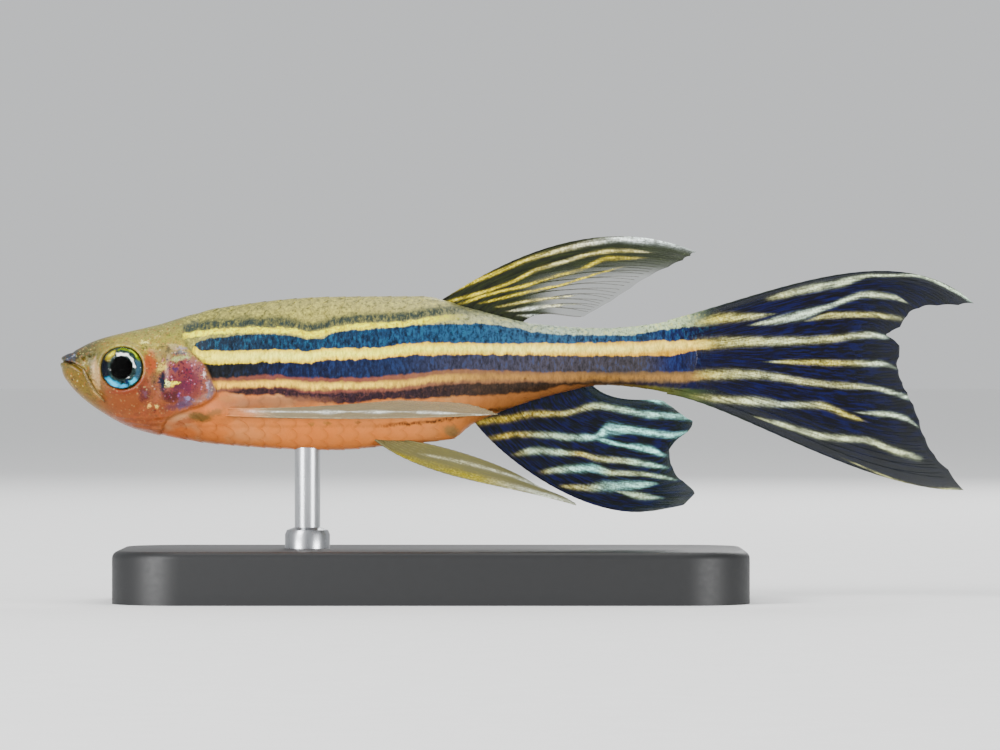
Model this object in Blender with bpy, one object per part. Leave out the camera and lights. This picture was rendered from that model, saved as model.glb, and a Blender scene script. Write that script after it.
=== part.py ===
"""Zebra danio, long-finned form: a still, life-size model held up by a small display stand.

Lengths are in millimetres until place() turns a point into metres, +Z up. On the fish
s runs back from the snout, y runs out from the middle plane and h runs up from the level
of the eyes. The fish faces -X, and its left side faces -Y.
"""

from math import asin, copysign, cos, hypot, pi, sin, sqrt

import bmesh
import bpy
import numpy as np
from mathutils import Matrix, Vector

MM = 0.001
GAP = 0.3

# Driving sizes of the fish
SNOUT_X = -26.1
EYE_LEVEL = 13.3
BODY_BACK_END = 30.3
EYE_S, EYE_H = 3.51, 0.0
EYE_RADIUS = 1.2
EYE_DEPTH = 0.85
EYE_Y = 1.3

# Outline of the body: (s, value), read against the square root of s so that the snout is round
BACK = (
    (0, 0.2), (0.08, 0.59), (0.78, 1.02), (1.98, 1.6), (5.35, 2.45), (9.12, 3.47), (15.6, 4.09),
    (20.6, 4.12), (23.5, 3.4), (27.3, 2.52), (31.0, 2.3), (35.6, 2.75),
)
BELLY = (
    (0, 0.2), (0.06, -0.29), (0.38, -0.85), (0.9, -1.45), (2.06, -2.38), (4.38, -3.56), (8.2, -4.3),
    (15.6, -4.71), (19.6, -4.36), (22.4, -4.07), (23.4, -3.3), (25.7, -2.29), (28.0, -1.58),
    (31.0, -1.0), (35.6, -1.5),
)
HALF_WIDTH = (
    (0, 0.0), (0.08, 0.42), (0.38, 0.8), (0.9, 1.12), (2.0, 1.5), (3.5, 1.86), (5.5, 2.12),
    (8.5, 2.34), (12.5, 2.5), (16.5, 2.46), (20.5, 2.15), (24.0, 1.65), (28.0, 1.12),
    (31.0, 0.86), (35.6, 0.5),
)
WIDEST = (
    (0, 0.2), (1.0, 0.05), (3.5, -0.15), (8.0, -0.6), (15.0, -0.5), (22.0, 0.0), (28.0, 0.5), (35.6, 0.62),
)
ROUNDNESS = 0.94

# Where the gill cover ends and where the tail stem ends: (h, s)
GILL_MARGIN = (
    (-4.3, 5.5), (-3.6, 5.75), (-3.0, 6.05), (-2.5, 7.0), (-2.05, 8.2), (-1.4, 8.95), (-0.5, 8.65),
    (0.4, 8.15), (1.4, 7.15), (3.3, 7.0),
)
TAIL_ROOT = ((-1.5, 34.7), (-0.4, 35.5), (0.62, 35.75), (1.7, 35.5), (2.8, 34.7))

# Lines on the head: (s, h)
MOUTH = ((-0.4, 0.4), (0.38, 0.36), (0.75, 0.22), (1.3, -0.1))
LIP_FOLD = ((0.62, 0.95), (0.82, 0.6), (1.12, 0.3))
BARBEL = ((1.35, -0.05), (1.55, -0.5), (1.85, -1.0), (2.2, -1.45), (2.6, -1.85))
BARBEL_RADII = (0.26, 0.25, 0.22, 0.17, 0.07)
CHEEK_FOLD = ((5.0, 1.0), (5.7, 0.4), (5.85, -0.5), (5.5, -1.5), (4.6, -2.3))
NOSTRILS = ((1.34, 0.55), (1.72, 0.72))
MOUTH_OPENING = 0.16
FLAP_RISE = 0.2
FLAP_REACH = 1.1

# Fins: thickness of the web and of a ray, and the share of it left at the free edge
WEB = 0.5
RAY = 0.8
EDGE_SHARE = 0.6

# Stand
BASE_SIZE = (36.0, 18.0, 3.0)
BASE_X = -5.0
BASE_CORNER = 4.0
ROD_S = 14.0
ROD_RADIUS = 0.8


class Curve:
    """A smooth line through keys of (position, value, ...) that doesn't swing past them."""

    def __init__(self, keys, warp=float):
        table = np.array(keys, float)
        self.warp = warp
        self.at = np.array([warp(position) for position in table[:, 0]])
        self.values = table[:, 1:]
        rates = np.diff(self.values, axis=0) / np.diff(self.at)[:, None]
        before, after = rates[:-1], rates[1:]
        level = before * after <= 0
        total = np.where(level, 1.0, before + after)
        inner = np.where(level, 0.0, 2 * before * after / total)
        self.slopes = np.vstack([rates[:1], inner, rates[-1:]])

    def __call__(self, position):
        x = min(max(self.warp(position), self.at[0]), self.at[-1])
        i = min(int(np.searchsorted(self.at, x, side="right")) - 1, len(self.at) - 2)
        step = self.at[i + 1] - self.at[i]
        f = (x - self.at[i]) / step
        rise = f * f * (3 - 2 * f)
        value = (
            self.values[i] * (1 - rise)
            + self.values[i + 1] * rise
            + self.slopes[i] * step * f * (1 - f) ** 2
            - self.slopes[i + 1] * step * f * f * (1 - f)
        )
        return value if len(value) > 1 else float(value[0])


def root_of(s):
    return sqrt(max(s, 0.0))


back = Curve(BACK, root_of)
belly = Curve(BELLY, root_of)
half_width = Curve(HALF_WIDTH, root_of)
widest = Curve(WIDEST, root_of)
gill_margin = Curve(GILL_MARGIN)
tail_root = Curve(TAIL_ROOT)


def place(point):
    """A point of the fish, (s, y, h) in millimetres, in metres in the model's frame."""
    s, y, h = point
    return Vector(((SNOUT_X + s) * MM, y * MM, (EYE_LEVEL + h) * MM))


def rounded(value):
    return abs(value) ** ROUNDNESS * (1 if value > 0 else -1)


def skin(s, turn):
    """The skin at s, at an angle that starts at the right flank and goes up over the back."""
    middle = widest(s)
    reach = back(s) - middle if sin(turn) > 0 else middle - belly(s)
    return np.array([s, half_width(s) * rounded(cos(turn)), middle + reach * rounded(sin(turn))])


def outward(s, turn):
    """The direction straight out of the skin."""
    step = min(0.05, s / 2 + 0.001)
    along = skin(s + step, turn) - skin(s - step, turn)
    around = skin(s, turn + 0.03) - skin(s, turn - 0.03)
    normal = np.cross(around, along)
    return normal / max(np.linalg.norm(normal), 1e-9)


def away(s, h, line):
    """How far the point is from a line of (s, h) points."""
    nearest = 1e9
    for (s0, h0), (s1, h1) in zip(line, line[1:]):
        length = (s1 - s0) ** 2 + (h1 - h0) ** 2
        f = ((s - s0) * (s1 - s0) + (h - h0) * (h1 - h0)) / length
        f = min(max(f, 0.0), 1.0)
        nearest = min(nearest, hypot(s - s0 - f * (s1 - s0), h - h0 - f * (h1 - h0)))
    return nearest


def bump(distance, width):
    """1 on the line, fading to 0 at about twice the width from it."""
    return 2.718 ** -((distance / width) ** 2)


def eased(value):
    value = min(max(value, 0.0), 1.0)
    return value * value * (3 - 2 * value)


def head_relief(s, h):
    """How far lips, folds and the gill cover's edge stand out from the plain head."""
    lips = 0.1 * bump(away(s, h, MOUTH) - 0.2, 0.14)
    fold = -0.08 * bump(away(s, h, LIP_FOLD), 0.12)
    cheek = -0.1 * bump(away(s, h, CHEEK_FOLD), 0.22)
    brow = 0.1 * bump(hypot(s - EYE_S, h - EYE_H) - EYE_RADIUS - 0.25, 0.25)
    on_flank = eased((1.9 - h) / 0.8) * eased((h + 3.4) / 0.8)
    flap = FLAP_RISE * on_flank * eased(1 - (gill_margin(h) - s) / FLAP_REACH)
    return lips + fold + cheek + brow + flap


def margin_at(turn, margin, guess):
    """The s where the skin at this angle meets a margin given as s against h."""
    s = guess
    for _ in range(40):
        s = 0.5 * s + 0.5 * margin(skin(s, turn)[2])
    return s


def behind(margin, clearance):
    """The same margin moved back until it is that far away, measured square to it."""

    def moved(h):
        slope = (margin(h + 0.05) - margin(h - 0.05)) / 0.1
        return margin(h) + clearance * hypot(1, slope)

    return moved


def new_object(name, mesh, finish):
    obj = bpy.data.objects.new(name, mesh)
    bpy.context.collection.objects.link(obj)
    mesh.materials.append(finish)
    mesh.shade_smooth()
    mesh.set_sharp_from_angle(angle=0.6)
    return obj


def closed_mesh(name, points, faces):
    """A mesh of points in metres, with its faces turned outwards."""
    mesh = bpy.data.meshes.new(name)
    mesh.from_pydata([tuple(point) for point in points], [], faces)
    shape = bmesh.new()
    shape.from_mesh(mesh)
    bmesh.ops.recalc_face_normals(shape, faces=shape.faces)
    shape.to_mesh(mesh)
    shape.free()
    return mesh


def finish_of(name, colour, roughness, metallic=0.0):
    material = bpy.data.materials.new(name)
    material.use_nodes = True
    shader = material.node_tree.nodes["Principled BSDF"]
    shader.inputs["Base Color"].default_value = (*colour, 1)
    shader.inputs["Roughness"].default_value = roughness
    shader.inputs["Metallic"].default_value = metallic
    return material


def end_faces(ring, count, back_facing):
    """Strips across the body that close a ring of its skin, side to side at each height."""
    top = count // 4
    left = [ring[(top + k) % count] for k in range(count // 2 + 1)]
    right = [ring[(top - k) % count] for k in range(count // 2 + 1)]
    faces = [(left[0], left[1], right[1])]
    for k in range(1, count // 2 - 1):
        faces.append((left[k], left[k + 1], right[k + 1], right[k]))
    faces.append((left[-2], left[-1], right[-2]))
    return faces if back_facing else [face[::-1] for face in faces]


def body_length(name, start, end, spacing, columns, rows, relief=None, snout=False):
    """A closed length of the body between two margins, each a function of the angle."""
    turns = [2 * pi * j / columns for j in range(columns)]
    starts = [start(turn) for turn in turns]
    ends = [end(turn) for turn in turns]
    points = []
    first_row = 0
    if snout:
        points.append(place(skin(0, 0)))
        first_row = 1
    for i in range(first_row, rows + 1):
        f = spacing(i / rows)
        for turn, low, high in zip(turns, starts, ends):
            s = low + (high - low) * f
            point = skin(s, turn)
            if relief:
                point = point + outward(s, turn) * relief(s, point[2])
            points.append(place(point))
    offset = 1 if snout else 0
    rings = [
        [offset + i * columns + j for j in range(columns)] for i in range(rows + 1 - first_row)
    ]
    faces = []
    for one, two in zip(rings, rings[1:]):
        for j in range(columns):
            k = (j + 1) % columns
            faces.append((one[j], one[k], two[k], two[j]))
    if snout:
        faces += [(0, rings[0][(j + 1) % columns], rings[0][j]) for j in range(columns)]
    else:
        faces += end_faces(rings[0], columns, False)
    faces += end_faces(rings[-1], columns, True)
    return closed_mesh(name, points, faces)


def ball(centre, radii, around, rings):
    """A closed ball stretched to three radii, its poles to left and right."""
    shape = bmesh.new()
    bmesh.ops.create_uvsphere(shape, u_segments=around, v_segments=rings, radius=1)
    for vert in shape.verts:
        x, y, z = vert.co
        vert.co = place((centre[0] + radii[0] * x, centre[1] + radii[1] * z, centre[2] - radii[2] * y))
    bmesh.ops.recalc_face_normals(shape, faces=shape.faces)
    mesh = bpy.data.meshes.new("ball")
    shape.to_mesh(mesh)
    shape.free()
    return mesh


def mouth_cut():
    """A thin slab along the mouth line, right through the snout."""
    above = [(s, h + MOUTH_OPENING / 2) for s, h in MOUTH[:-1]]
    below = [(s, h - MOUTH_OPENING / 2) for s, h in MOUTH[:-1]]
    outline = above + [MOUTH[-1]] + below[::-1]
    points = [place((s, y, h)) for y in (-2, 2) for s, h in outline]
    count = len(outline)
    faces = [tuple(range(count)), tuple(range(2 * count - 1, count - 1, -1))]
    faces += [(k, (k + 1) % count, count + (k + 1) % count, count + k) for k in range(count)]
    return closed_mesh("mouth_cut", points, faces)


def flank_point(s, h, side, rise=0.0):
    """The point over the skin at s and h, on one side (1 right, -1 left), lifted off it by rise."""
    middle = widest(s)
    reach = back(s) - middle if h > middle else middle - belly(s)
    share = min(abs(h - middle) / reach, 1.0) ** (1 / ROUNDNESS)
    turn = asin(copysign(share, h - middle))
    return (skin(s, turn) + rise * outward(s, turn)) * (1, side, 1)


def barbel(side):
    """A feeler that leaves the corner of the mouth and lies back along the cheek."""
    lifts = (-0.05, 0.02, 0.06, 0.1, 0.16)
    centres = [flank_point(s, h, side, lift) for (s, h), lift in zip(BARBEL, lifts)]
    points = []
    sides = 6
    for i, (centre, radius) in enumerate(zip(centres, BARBEL_RADII)):
        ahead = centres[min(i + 1, len(centres) - 1)] - centres[max(i - 1, 0)]
        ahead = ahead / np.linalg.norm(ahead)
        across = np.cross(ahead, (0, 1, 0))
        across = across / np.linalg.norm(across)
        up = np.cross(across, ahead)
        for k in range(sides):
            turn = 2 * pi * k / sides
            points.append(place(centre + radius * (cos(turn) * across + sin(turn) * up)))
    faces = [tuple(range(sides))]
    for i in range(len(centres) - 1):
        for k in range(sides):
            a, b = i * sides + k, i * sides + (k + 1) % sides
            faces.append((a, b, b + sides, a + sides))
    faces.append(tuple(range(len(points) - 1, len(points) - 1 - sides, -1)))
    return closed_mesh("barbel", points, faces)


def combine(target, meshes, operation):
    """Unites or cuts the target with closed meshes, and keeps its largest closed surface."""
    group = bpy.data.collections.new("tools")
    helpers = [bpy.data.objects.new("tool", mesh) for mesh in meshes]
    for helper in helpers:
        helper.hide_render = True
        helper.display_type = "WIRE"
        group.objects.link(helper)
    bpy.context.scene.collection.children.link(group)
    modifier = target.modifiers.new(operation.lower(), "BOOLEAN")
    modifier.operation = operation
    modifier.operand_type = "COLLECTION"
    modifier.collection = group
    modifier.solver = "EXACT"
    bpy.context.view_layer.update()
    graph = bpy.context.evaluated_depsgraph_get()
    result = bpy.data.meshes.new_from_object(target.evaluated_get(graph), depsgraph=graph)
    target.modifiers.remove(modifier)
    target.data = result
    for helper in helpers:
        bpy.data.objects.remove(helper)
    bpy.data.collections.remove(group)
    keep_largest(result)


def keep_largest(mesh):
    shape = bmesh.new()
    shape.from_mesh(mesh)
    left = set(shape.verts)
    pieces = []
    while left:
        start = left.pop()
        piece, edge_of = {start}, [start]
        while edge_of:
            for link in edge_of.pop().link_edges:
                for vert in link.verts:
                    if vert in left:
                        left.remove(vert)
                        piece.add(vert)
                        edge_of.append(vert)
        pieces.append(piece)
    pieces.sort(key=len)
    for piece in pieces[:-1]:
        bmesh.ops.delete(shape, geom=list(piece), context="VERTS")
    shape.to_mesh(mesh)
    shape.free()


def fin_shape(root, inner, outer, tip):
    """The middle surface of a fin as a function of t, from its first ray to its last, and v,
    from root to tip. The four lines cross the rays at v = 0, 1/3, 2/3 and 1, and hold
    (t, s, y, h) keys."""
    lines = [Curve(line) for line in (root, inner, outer, tip)]

    def shape(t, v):
        a, b, c = v - 1 / 3, v - 2 / 3, v - 1
        shares = (-4.5 * a * b * c, 13.5 * v * b * c, -13.5 * v * a * c, 4.5 * v * a * b)
        return sum(share * line(t) for share, line in zip(shares, lines))

    return shape


def lobe(shape, split, first):
    """One side of a fin that is parted along the ray at split, half a gap clear of it."""

    def half(t, v):
        spread = np.linalg.norm(shape(split + 0.01, v) - shape(split - 0.01, v)) / 0.02
        clearance = GAP / 2 / spread
        if first:
            return shape(t * (split - clearance), v)
        start = split + clearance
        return shape(start + t * (1 - start), v)

    return half


def fin_mesh(name, shape, rays, rows, mirrored=False):
    """A web with raised rays on both faces, from the middle surface shape(t, v)."""
    half_ray = 0.17 / (rays - 1)
    columns = [(0.0, True)]
    for k in range(rays):
        t = k / (rays - 1)
        if k:
            columns.append((t - half_ray, False))
            columns.append((t, True))
        if k < rays - 1:
            columns.append((t + half_ray, False))
    count = len(columns)
    faces_of = {1: [], -1: []}
    for i in range(rows + 1):
        v = i / rows
        share = 1 - (1 - EDGE_SHARE) * eased((v - 0.6) / 0.4)
        for t, crest in columns:
            low_t, high_t = max(t - 0.01, 0), min(t + 0.01, 1)
            low_v, high_v = max(v - 0.01, 0), min(v + 0.01, 1)
            across = (shape(high_t, v) - shape(low_t, v)) / (high_t - low_t)
            along = shape(t, high_v) - shape(t, low_v)
            normal = np.cross(across, along)
            normal = normal / np.linalg.norm(normal)
            ridge = min(RAY - WEB, 1.2 * np.linalg.norm(across) / (rays - 1)) if crest else 0
            half = (WEB + ridge) / 2 * share
            for side in (1, -1):
                point = shape(t, v) + side * half * normal
                if mirrored:
                    point = point * (1, -1, 1)
                faces_of[side].append(place(point))
    points = faces_of[1] + faces_of[-1]
    other = len(faces_of[1])
    faces = []
    for i in range(rows):
        for j in range(count - 1):
            a, b = i * count + j, i * count + j + 1
            c, d = b + count, a + count
            faces += [(a, b, c), (a, c, d)]
            faces += [(other + c, other + b, other + a), (other + d, other + c, other + a)]
    rim = list(range(count))
    rim += [i * count + count - 1 for i in range(1, rows + 1)]
    rim += [rows * count + j for j in range(count - 2, -1, -1)]
    rim += [i * count for i in range(rows - 1, 0, -1)]
    for a, b in zip(rim, rim[1:] + rim[:1]):
        faces.append((a, other + a, other + b, b))
    return closed_mesh(name, points, faces)


def along_profile(profile, stations, side, lean=0.0):
    """Keys of a fin's root line, a gap clear of the back (side 1) or the belly (side -1)."""
    keys = []
    for k, s in enumerate(stations):
        slope = (profile(s + 0.1) - profile(s - 0.1)) / 0.2
        stretch = GAP / hypot(1, slope)
        keys.append((k / (len(stations) - 1), s - side * slope * stretch, lean, profile(s) + side * stretch))
    return keys


def flat_keys(points, bend=0.0):
    """Keys at even steps of t through (s, h) points, at one distance from the middle plane."""
    return [(k / (len(points) - 1), s, bend, h) for k, (s, h) in enumerate(points)]


def head():
    def end(turn):
        return margin_at(turn, gill_margin, 7.5)

    mesh = body_length(
        "head", lambda turn: 0.0, end, lambda f: f**1.8, columns=44, rows=26, relief=head_relief, snout=True
    )
    obj = new_object("head", mesh, finish_of("head skin", (0.62, 0.42, 0.25), 0.35))
    combine(obj, [barbel(1), barbel(-1)], "UNION")
    cutters = [mouth_cut()]
    for side in (1, -1):
        socket = (EYE_RADIUS + GAP, EYE_DEPTH + GAP, EYE_RADIUS + GAP)
        cutters.append(ball((EYE_S, side * EYE_Y, EYE_H), socket, 24, 12))
        for s, h in NOSTRILS:
            cutters.append(ball(flank_point(s, h, side), (0.14, 0.22, 0.14), 8, 6))
    combine(obj, cutters, "DIFFERENCE")


def trunk():
    margin = behind(gill_margin, GAP)

    def start(turn):
        return margin_at(turn, margin, 8.0)

    mesh = body_length("trunk", start, lambda turn: BODY_BACK_END, lambda f: f, columns=36, rows=24)
    new_object("trunk", mesh, finish_of("flank skin", (0.4, 0.42, 0.45), 0.3))


def tail_stem():
    def end(turn):
        return margin_at(turn, tail_root, 35.3)

    mesh = body_length(
        "tail_stem", lambda turn: BODY_BACK_END + GAP, end, lambda f: f, columns=28, rows=6
    )
    new_object("tail_stem", mesh, finish_of("tail stem skin", (0.3, 0.34, 0.45), 0.3))


def eyes():
    finish = finish_of("eye", (0.05, 0.08, 0.1), 0.08)
    for name, side in (("eye_left", -1), ("eye_right", 1)):
        mesh = ball((EYE_S, side * EYE_Y, EYE_H), (EYE_RADIUS, EYE_DEPTH, EYE_RADIUS), 24, 12)
        new_object(name, mesh, finish)


def dorsal_fin():
    shape = fin_shape(
        along_profile(back, (21.6, 23.0, 24.5, 26.1), 1),
        flat_keys(((25.12, 5.76), (25.5, 4.96), (26.4, 3.9), (27.3, 3.1)), 0.03),
        flat_keys(((30.26, 7.39), (29.75, 6.05), (29.2, 4.45), (28.55, 3.05)), 0.12),
        flat_keys(((36.32, 6.62), (35.52, 6.16), (33.63, 5.25), (31.41, 3.82), (29.85, 2.95)), 0.3),
    )
    mesh = fin_mesh("dorsal_fin", shape, rays=9, rows=9)
    new_object("dorsal_fin", mesh, finish_of("dorsal fin", (0.35, 0.33, 0.15), 0.4))


def anal_fin():
    tip = (
        (33.86, -8.13), (35.63, -7.78), (36.21, -7.04), (35.29, -6.24), (34.83, -5.38), (34.72, -4.53),
        (35.1, -3.95), (35.9, -3.5), (36.1, -3.1), (35.6, -2.75), (35.0, -2.3), (34.4, -1.9),
    )
    shape = fin_shape(
        along_profile(belly, (23.6, 25.2, 27.2, 29.0, 30.1), -1),
        flat_keys(((26.0, -5.33), (27.75, -4.18), (30.15, -2.81), (31.6, -1.7)), -0.03),
        flat_keys(((29.75, -7.53), (31.75, -5.95), (33.46, -3.55), (33.2, -1.85)), -0.12),
        flat_keys(tip, -0.3),
    )
    mesh = fin_mesh("anal_fin", shape, rays=13, rows=9)
    new_object("anal_fin", mesh, finish_of("anal fin", (0.3, 0.36, 0.5), 0.4))


def tail_fin():
    root = behind(tail_root, GAP)
    root_keys = [(k / 4, root(h), 0.0, h) for k, h in enumerate((2.62, 1.7, 0.62, -0.4, -1.38))]
    margin = (
        (0, 52.15, 3.7), (0.06, 51.18, 3.59), (0.13, 49.69, 3.56), (0.2, 48.55, 3.19),
        (0.28, 47.92, 2.33), (0.36, 47.18, 1.87), (0.42, 47.75, 1.5), (0.47, 47.98, 1.02),
        (0.53, 47.81, 0.22), (0.6, 48.03, -0.7), (0.68, 48.43, -1.55), (0.75, 48.89, -2.53),
        (0.82, 49.29, -3.78), (0.89, 49.92, -4.98), (0.95, 50.78, -5.9), (1, 51.58, -6.98),
    )
    shape = fin_shape(
        root_keys,
        flat_keys(((40.9, 4.5), (40.2, 2.56), (40.32, 0.73), (39.98, -1.21), (39.41, -3.1))),
        flat_keys(((47.0, 5.52), (44.9, 3.6), (44.21, 0.62), (44.72, -2.35), (45.46, -5.67)), 0.05),
        [(t, s, 0.2, h) for t, s, h in margin],
    )
    finish = finish_of("tail fin", (0.25, 0.3, 0.45), 0.4)
    for name, first, rays in (("tail_fin_upper", True, 8), ("tail_fin_lower", False, 11)):
        mesh = fin_mesh(name, lobe(shape, 0.38, first), rays, rows=10)
        new_object(name, mesh, finish)


def pelvic_fins():
    shape = fin_shape(
        [(0, *flank_point(17.9, -4.1, 1, 0.4)), (1, *flank_point(19.4, -4.2, 1, 0.4))],
        [(0, 21.3, 1.75, -5.75), (1, 22.4, 0.85, -4.75)],
        [(0, 25.2, 2.3, -6.75), (1, 25.3, 0.95, -5.75)],
        [(0, 29.4, 2.5, -7.78), (0.5, 28.6, 1.9, -7.35), (1, 27.4, 1.1, -6.95)],
    )
    finish = finish_of("pelvic fin", (0.45, 0.42, 0.28), 0.4)
    for name, mirrored in (("pelvic_fin_right", False), ("pelvic_fin_left", True)):
        new_object(name, fin_mesh(name, shape, rays=7, rows=8, mirrored=mirrored), finish)


def pectoral_fins():
    shape = fin_shape(
        [(0, *flank_point(9.35, -2.1, 1, 0.4)), (1, *flank_point(9.75, -2.85, 1, 0.4))],
        [(0, 14.4, 4.4, -2.42), (1, 12.7, 3.15, -2.68)],
        [(0, 19.7, 6.1, -2.6), (1, 16.3, 3.6, -2.35)],
        [(0, 24.95, 7.3, -2.58), (0.15, 24.5, 6.7, -2.4), (0.5, 22.9, 5.2, -2.15), (1, 19.4, 3.9, -2.0)],
    )
    finish = finish_of("pectoral fin", (0.6, 0.58, 0.45), 0.4)
    for name, mirrored in (("pectoral_fin_right", False), ("pectoral_fin_left", True)):
        new_object(name, fin_mesh(name, shape, rays=9, rows=8, mirrored=mirrored), finish)


def stand():
    length, width, height = (size * MM for size in BASE_SIZE)
    shape = bmesh.new()
    bmesh.ops.create_cube(shape, size=1)
    for vert in shape.verts:
        x, y, z = vert.co
        vert.co = (BASE_X * MM + x * length, y * width, (z + 0.5) * height)
    uprights = [edge for edge in shape.edges if abs(edge.verts[0].co.z - edge.verts[1].co.z) > height / 2]
    bmesh.ops.bevel(
        shape, geom=uprights, offset=BASE_CORNER * MM, segments=6, profile=0.5, affect="EDGES"
    )
    brim = [edge for edge in shape.edges if min(vert.co.z for vert in edge.verts) > height * 0.99]
    bmesh.ops.bevel(shape, geom=brim, offset=0.5 * MM, segments=2, profile=0.5, affect="EDGES")
    mesh = bpy.data.meshes.new("stand_base")
    shape.to_mesh(mesh)
    shape.free()
    new_object("stand_base", mesh, finish_of("black acrylic", (0.02, 0.02, 0.025), 0.25))

    foot = BASE_SIZE[2] + GAP
    top = EYE_LEVEL + belly(ROD_S) - GAP
    shape = bmesh.new()
    bmesh.ops.create_cone(
        shape, cap_ends=True, segments=20, radius1=ROD_RADIUS * MM, radius2=ROD_RADIUS * MM,
        depth=(top - foot) * MM,
    )
    mesh = bpy.data.meshes.new("stand_rod")
    shape.to_mesh(mesh)
    shape.free()
    mesh.transform(Matrix.Translation(((SNOUT_X + ROD_S) * MM, 0, (top + foot) / 2 * MM)))
    new_object("stand_rod", mesh, finish_of("steel rod", (0.6, 0.6, 0.6), 0.3, 1.0))


def main():
    for obj in list(bpy.data.objects):
        bpy.data.objects.remove(obj)
    head()
    trunk()
    tail_stem()
    eyes()
    dorsal_fin()
    anal_fin()
    tail_fin()
    pelvic_fins()
    pectoral_fins()
    stand()


main()
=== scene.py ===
"""Zebra danio, long-finned form: skin, scales, eyes, fins and stand of the display model.

On the fish a point is (s, y, h) in millimetres: s runs back from the snout, y out from the
middle plane and h up from the level of the eyes. It faces -X, with its left side to -Y.
"""

from math import pi, tau

import bpy
import numpy as np
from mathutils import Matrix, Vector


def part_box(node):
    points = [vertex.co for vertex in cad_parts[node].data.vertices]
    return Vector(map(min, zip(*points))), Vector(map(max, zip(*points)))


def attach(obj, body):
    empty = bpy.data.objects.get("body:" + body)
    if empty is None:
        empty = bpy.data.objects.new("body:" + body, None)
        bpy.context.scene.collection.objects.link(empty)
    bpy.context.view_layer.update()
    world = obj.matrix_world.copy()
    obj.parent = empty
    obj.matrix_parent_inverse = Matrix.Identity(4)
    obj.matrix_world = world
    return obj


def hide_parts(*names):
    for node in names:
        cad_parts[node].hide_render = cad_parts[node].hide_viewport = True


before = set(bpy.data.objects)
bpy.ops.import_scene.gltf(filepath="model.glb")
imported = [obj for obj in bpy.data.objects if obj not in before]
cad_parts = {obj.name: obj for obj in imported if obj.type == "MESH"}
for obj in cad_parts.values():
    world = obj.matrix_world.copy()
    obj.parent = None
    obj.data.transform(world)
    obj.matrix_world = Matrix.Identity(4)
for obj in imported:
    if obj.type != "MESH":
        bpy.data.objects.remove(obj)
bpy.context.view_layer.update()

bl_info = {
    "name": "Zebra Danio",
    "version": (1, 0, 0),
    "blender": (4, 5, 0),
    "location": "3D Viewport > Sidebar > Danio",
    "description": "Models and finishes a life-size zebra danio on its stand",
    "category": "Object",
}

MM = 0.001
BODY = "root"
SIDES = (("left", -1), ("right", 1))

# Where the fish hangs, from the solids
SNOUT_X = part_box("head")[0][0] / MM
EYE_BOX = [np.array(corner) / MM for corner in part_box("eye_left")]
EYE_LEVEL = (EYE_BOX[0][2] + EYE_BOX[1][2]) / 2
EYE_S = (EYE_BOX[0][0] + EYE_BOX[1][0]) / 2 - SNOUT_X
EYE_RADIUS = (EYE_BOX[1][0] - EYE_BOX[0][0]) / 2
EYE_DEPTH = (EYE_BOX[1][1] - EYE_BOX[0][1]) / 2
EYE_Y = -(EYE_BOX[0][1] + EYE_BOX[1][1]) / 2

# Outline of the body: (s, value), read against the square root of s so that the snout is round
BACK = (
    (0, 0.2), (0.08, 0.59), (0.78, 1.02), (1.98, 1.6), (5.35, 2.45), (9.12, 3.47), (15.6, 4.09),
    (20.6, 4.12), (23.5, 3.4), (27.3, 2.52), (31.0, 2.3), (35.6, 2.75),
)
BELLY = (
    (0, 0.2), (0.06, -0.29), (0.38, -0.85), (0.9, -1.45), (2.06, -2.38), (4.38, -3.56), (8.2, -4.3),
    (15.6, -4.71), (19.6, -4.36), (22.4, -4.07), (23.4, -3.3), (25.7, -2.29), (28.0, -1.58),
    (31.0, -1.0), (35.6, -1.5),
)
HALF_WIDTH = (
    (0, 0.0), (0.08, 0.42), (0.38, 0.8), (0.9, 1.12), (2.0, 1.5), (3.5, 1.86), (5.5, 2.12),
    (8.5, 2.34), (12.5, 2.5), (16.5, 2.46), (20.5, 2.15), (24.0, 1.65), (28.0, 1.12),
    (31.0, 0.86), (35.6, 0.5),
)
WIDEST = (
    (0, 0.2), (1.0, 0.05), (3.5, -0.15), (8.0, -0.6), (15.0, -0.5), (22.0, 0.0), (28.0, 0.5), (35.6, 0.62),
)
ROUNDNESS = 0.94
SNOUT_H = 0.2

# Where the gill cover ends and where the tail stem ends: (h, s)
GILL_MARGIN = (
    (-4.3, 5.5), (-3.6, 5.75), (-3.0, 6.05), (-2.5, 7.0), (-2.05, 8.2), (-1.4, 8.95), (-0.5, 8.65),
    (0.4, 8.15), (1.4, 7.15), (3.3, 7.0),
)
TAIL_ROOT = ((-1.5, 34.7), (-0.4, 35.5), (0.62, 35.75), (1.7, 35.5), (2.8, 34.7))

# Lines on the head: (s, h)
MOUTH = ((-0.4, 0.4), (0.38, 0.36), (0.75, 0.22), (1.3, -0.1))
LIP_FOLD = ((0.62, 0.95), (0.82, 0.6), (1.12, 0.3))
JAW_FOLD = ((1.3, -0.1), (1.6, -0.75), (2.1, -1.35), (2.75, -1.85))
BARBEL = ((1.35, -0.05), (1.55, -0.5), (1.85, -1.0), (2.2, -1.45), (2.6, -1.85))
CHEEK_FOLD = ((5.0, 1.0), (5.7, 0.4), (5.85, -0.5), (5.5, -1.5), (4.6, -2.3))
GILL_PLATE = ((6.1, 0.7), (6.0, -0.4), (6.1, -1.4), (6.7, -2.2), (7.6, -2.3))
THROAT_RAYS = (
    ((3.2, -2.75), (4.8, -2.9), (6.2, -2.75)), ((3.7, -3.05), (5.0, -3.2), (6.0, -3.1)),
    ((4.2, -3.35), (5.2, -3.5), (5.9, -3.45)),
)
CROWN_LINES = (((2.3, 1.25), (3.2, 1.5), (4.3, 1.45)), ((4.6, 1.3), (5.6, 1.25), (6.6, 1.15)))
NOSTRILS = ((1.34, 0.55), (1.72, 0.72))
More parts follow.
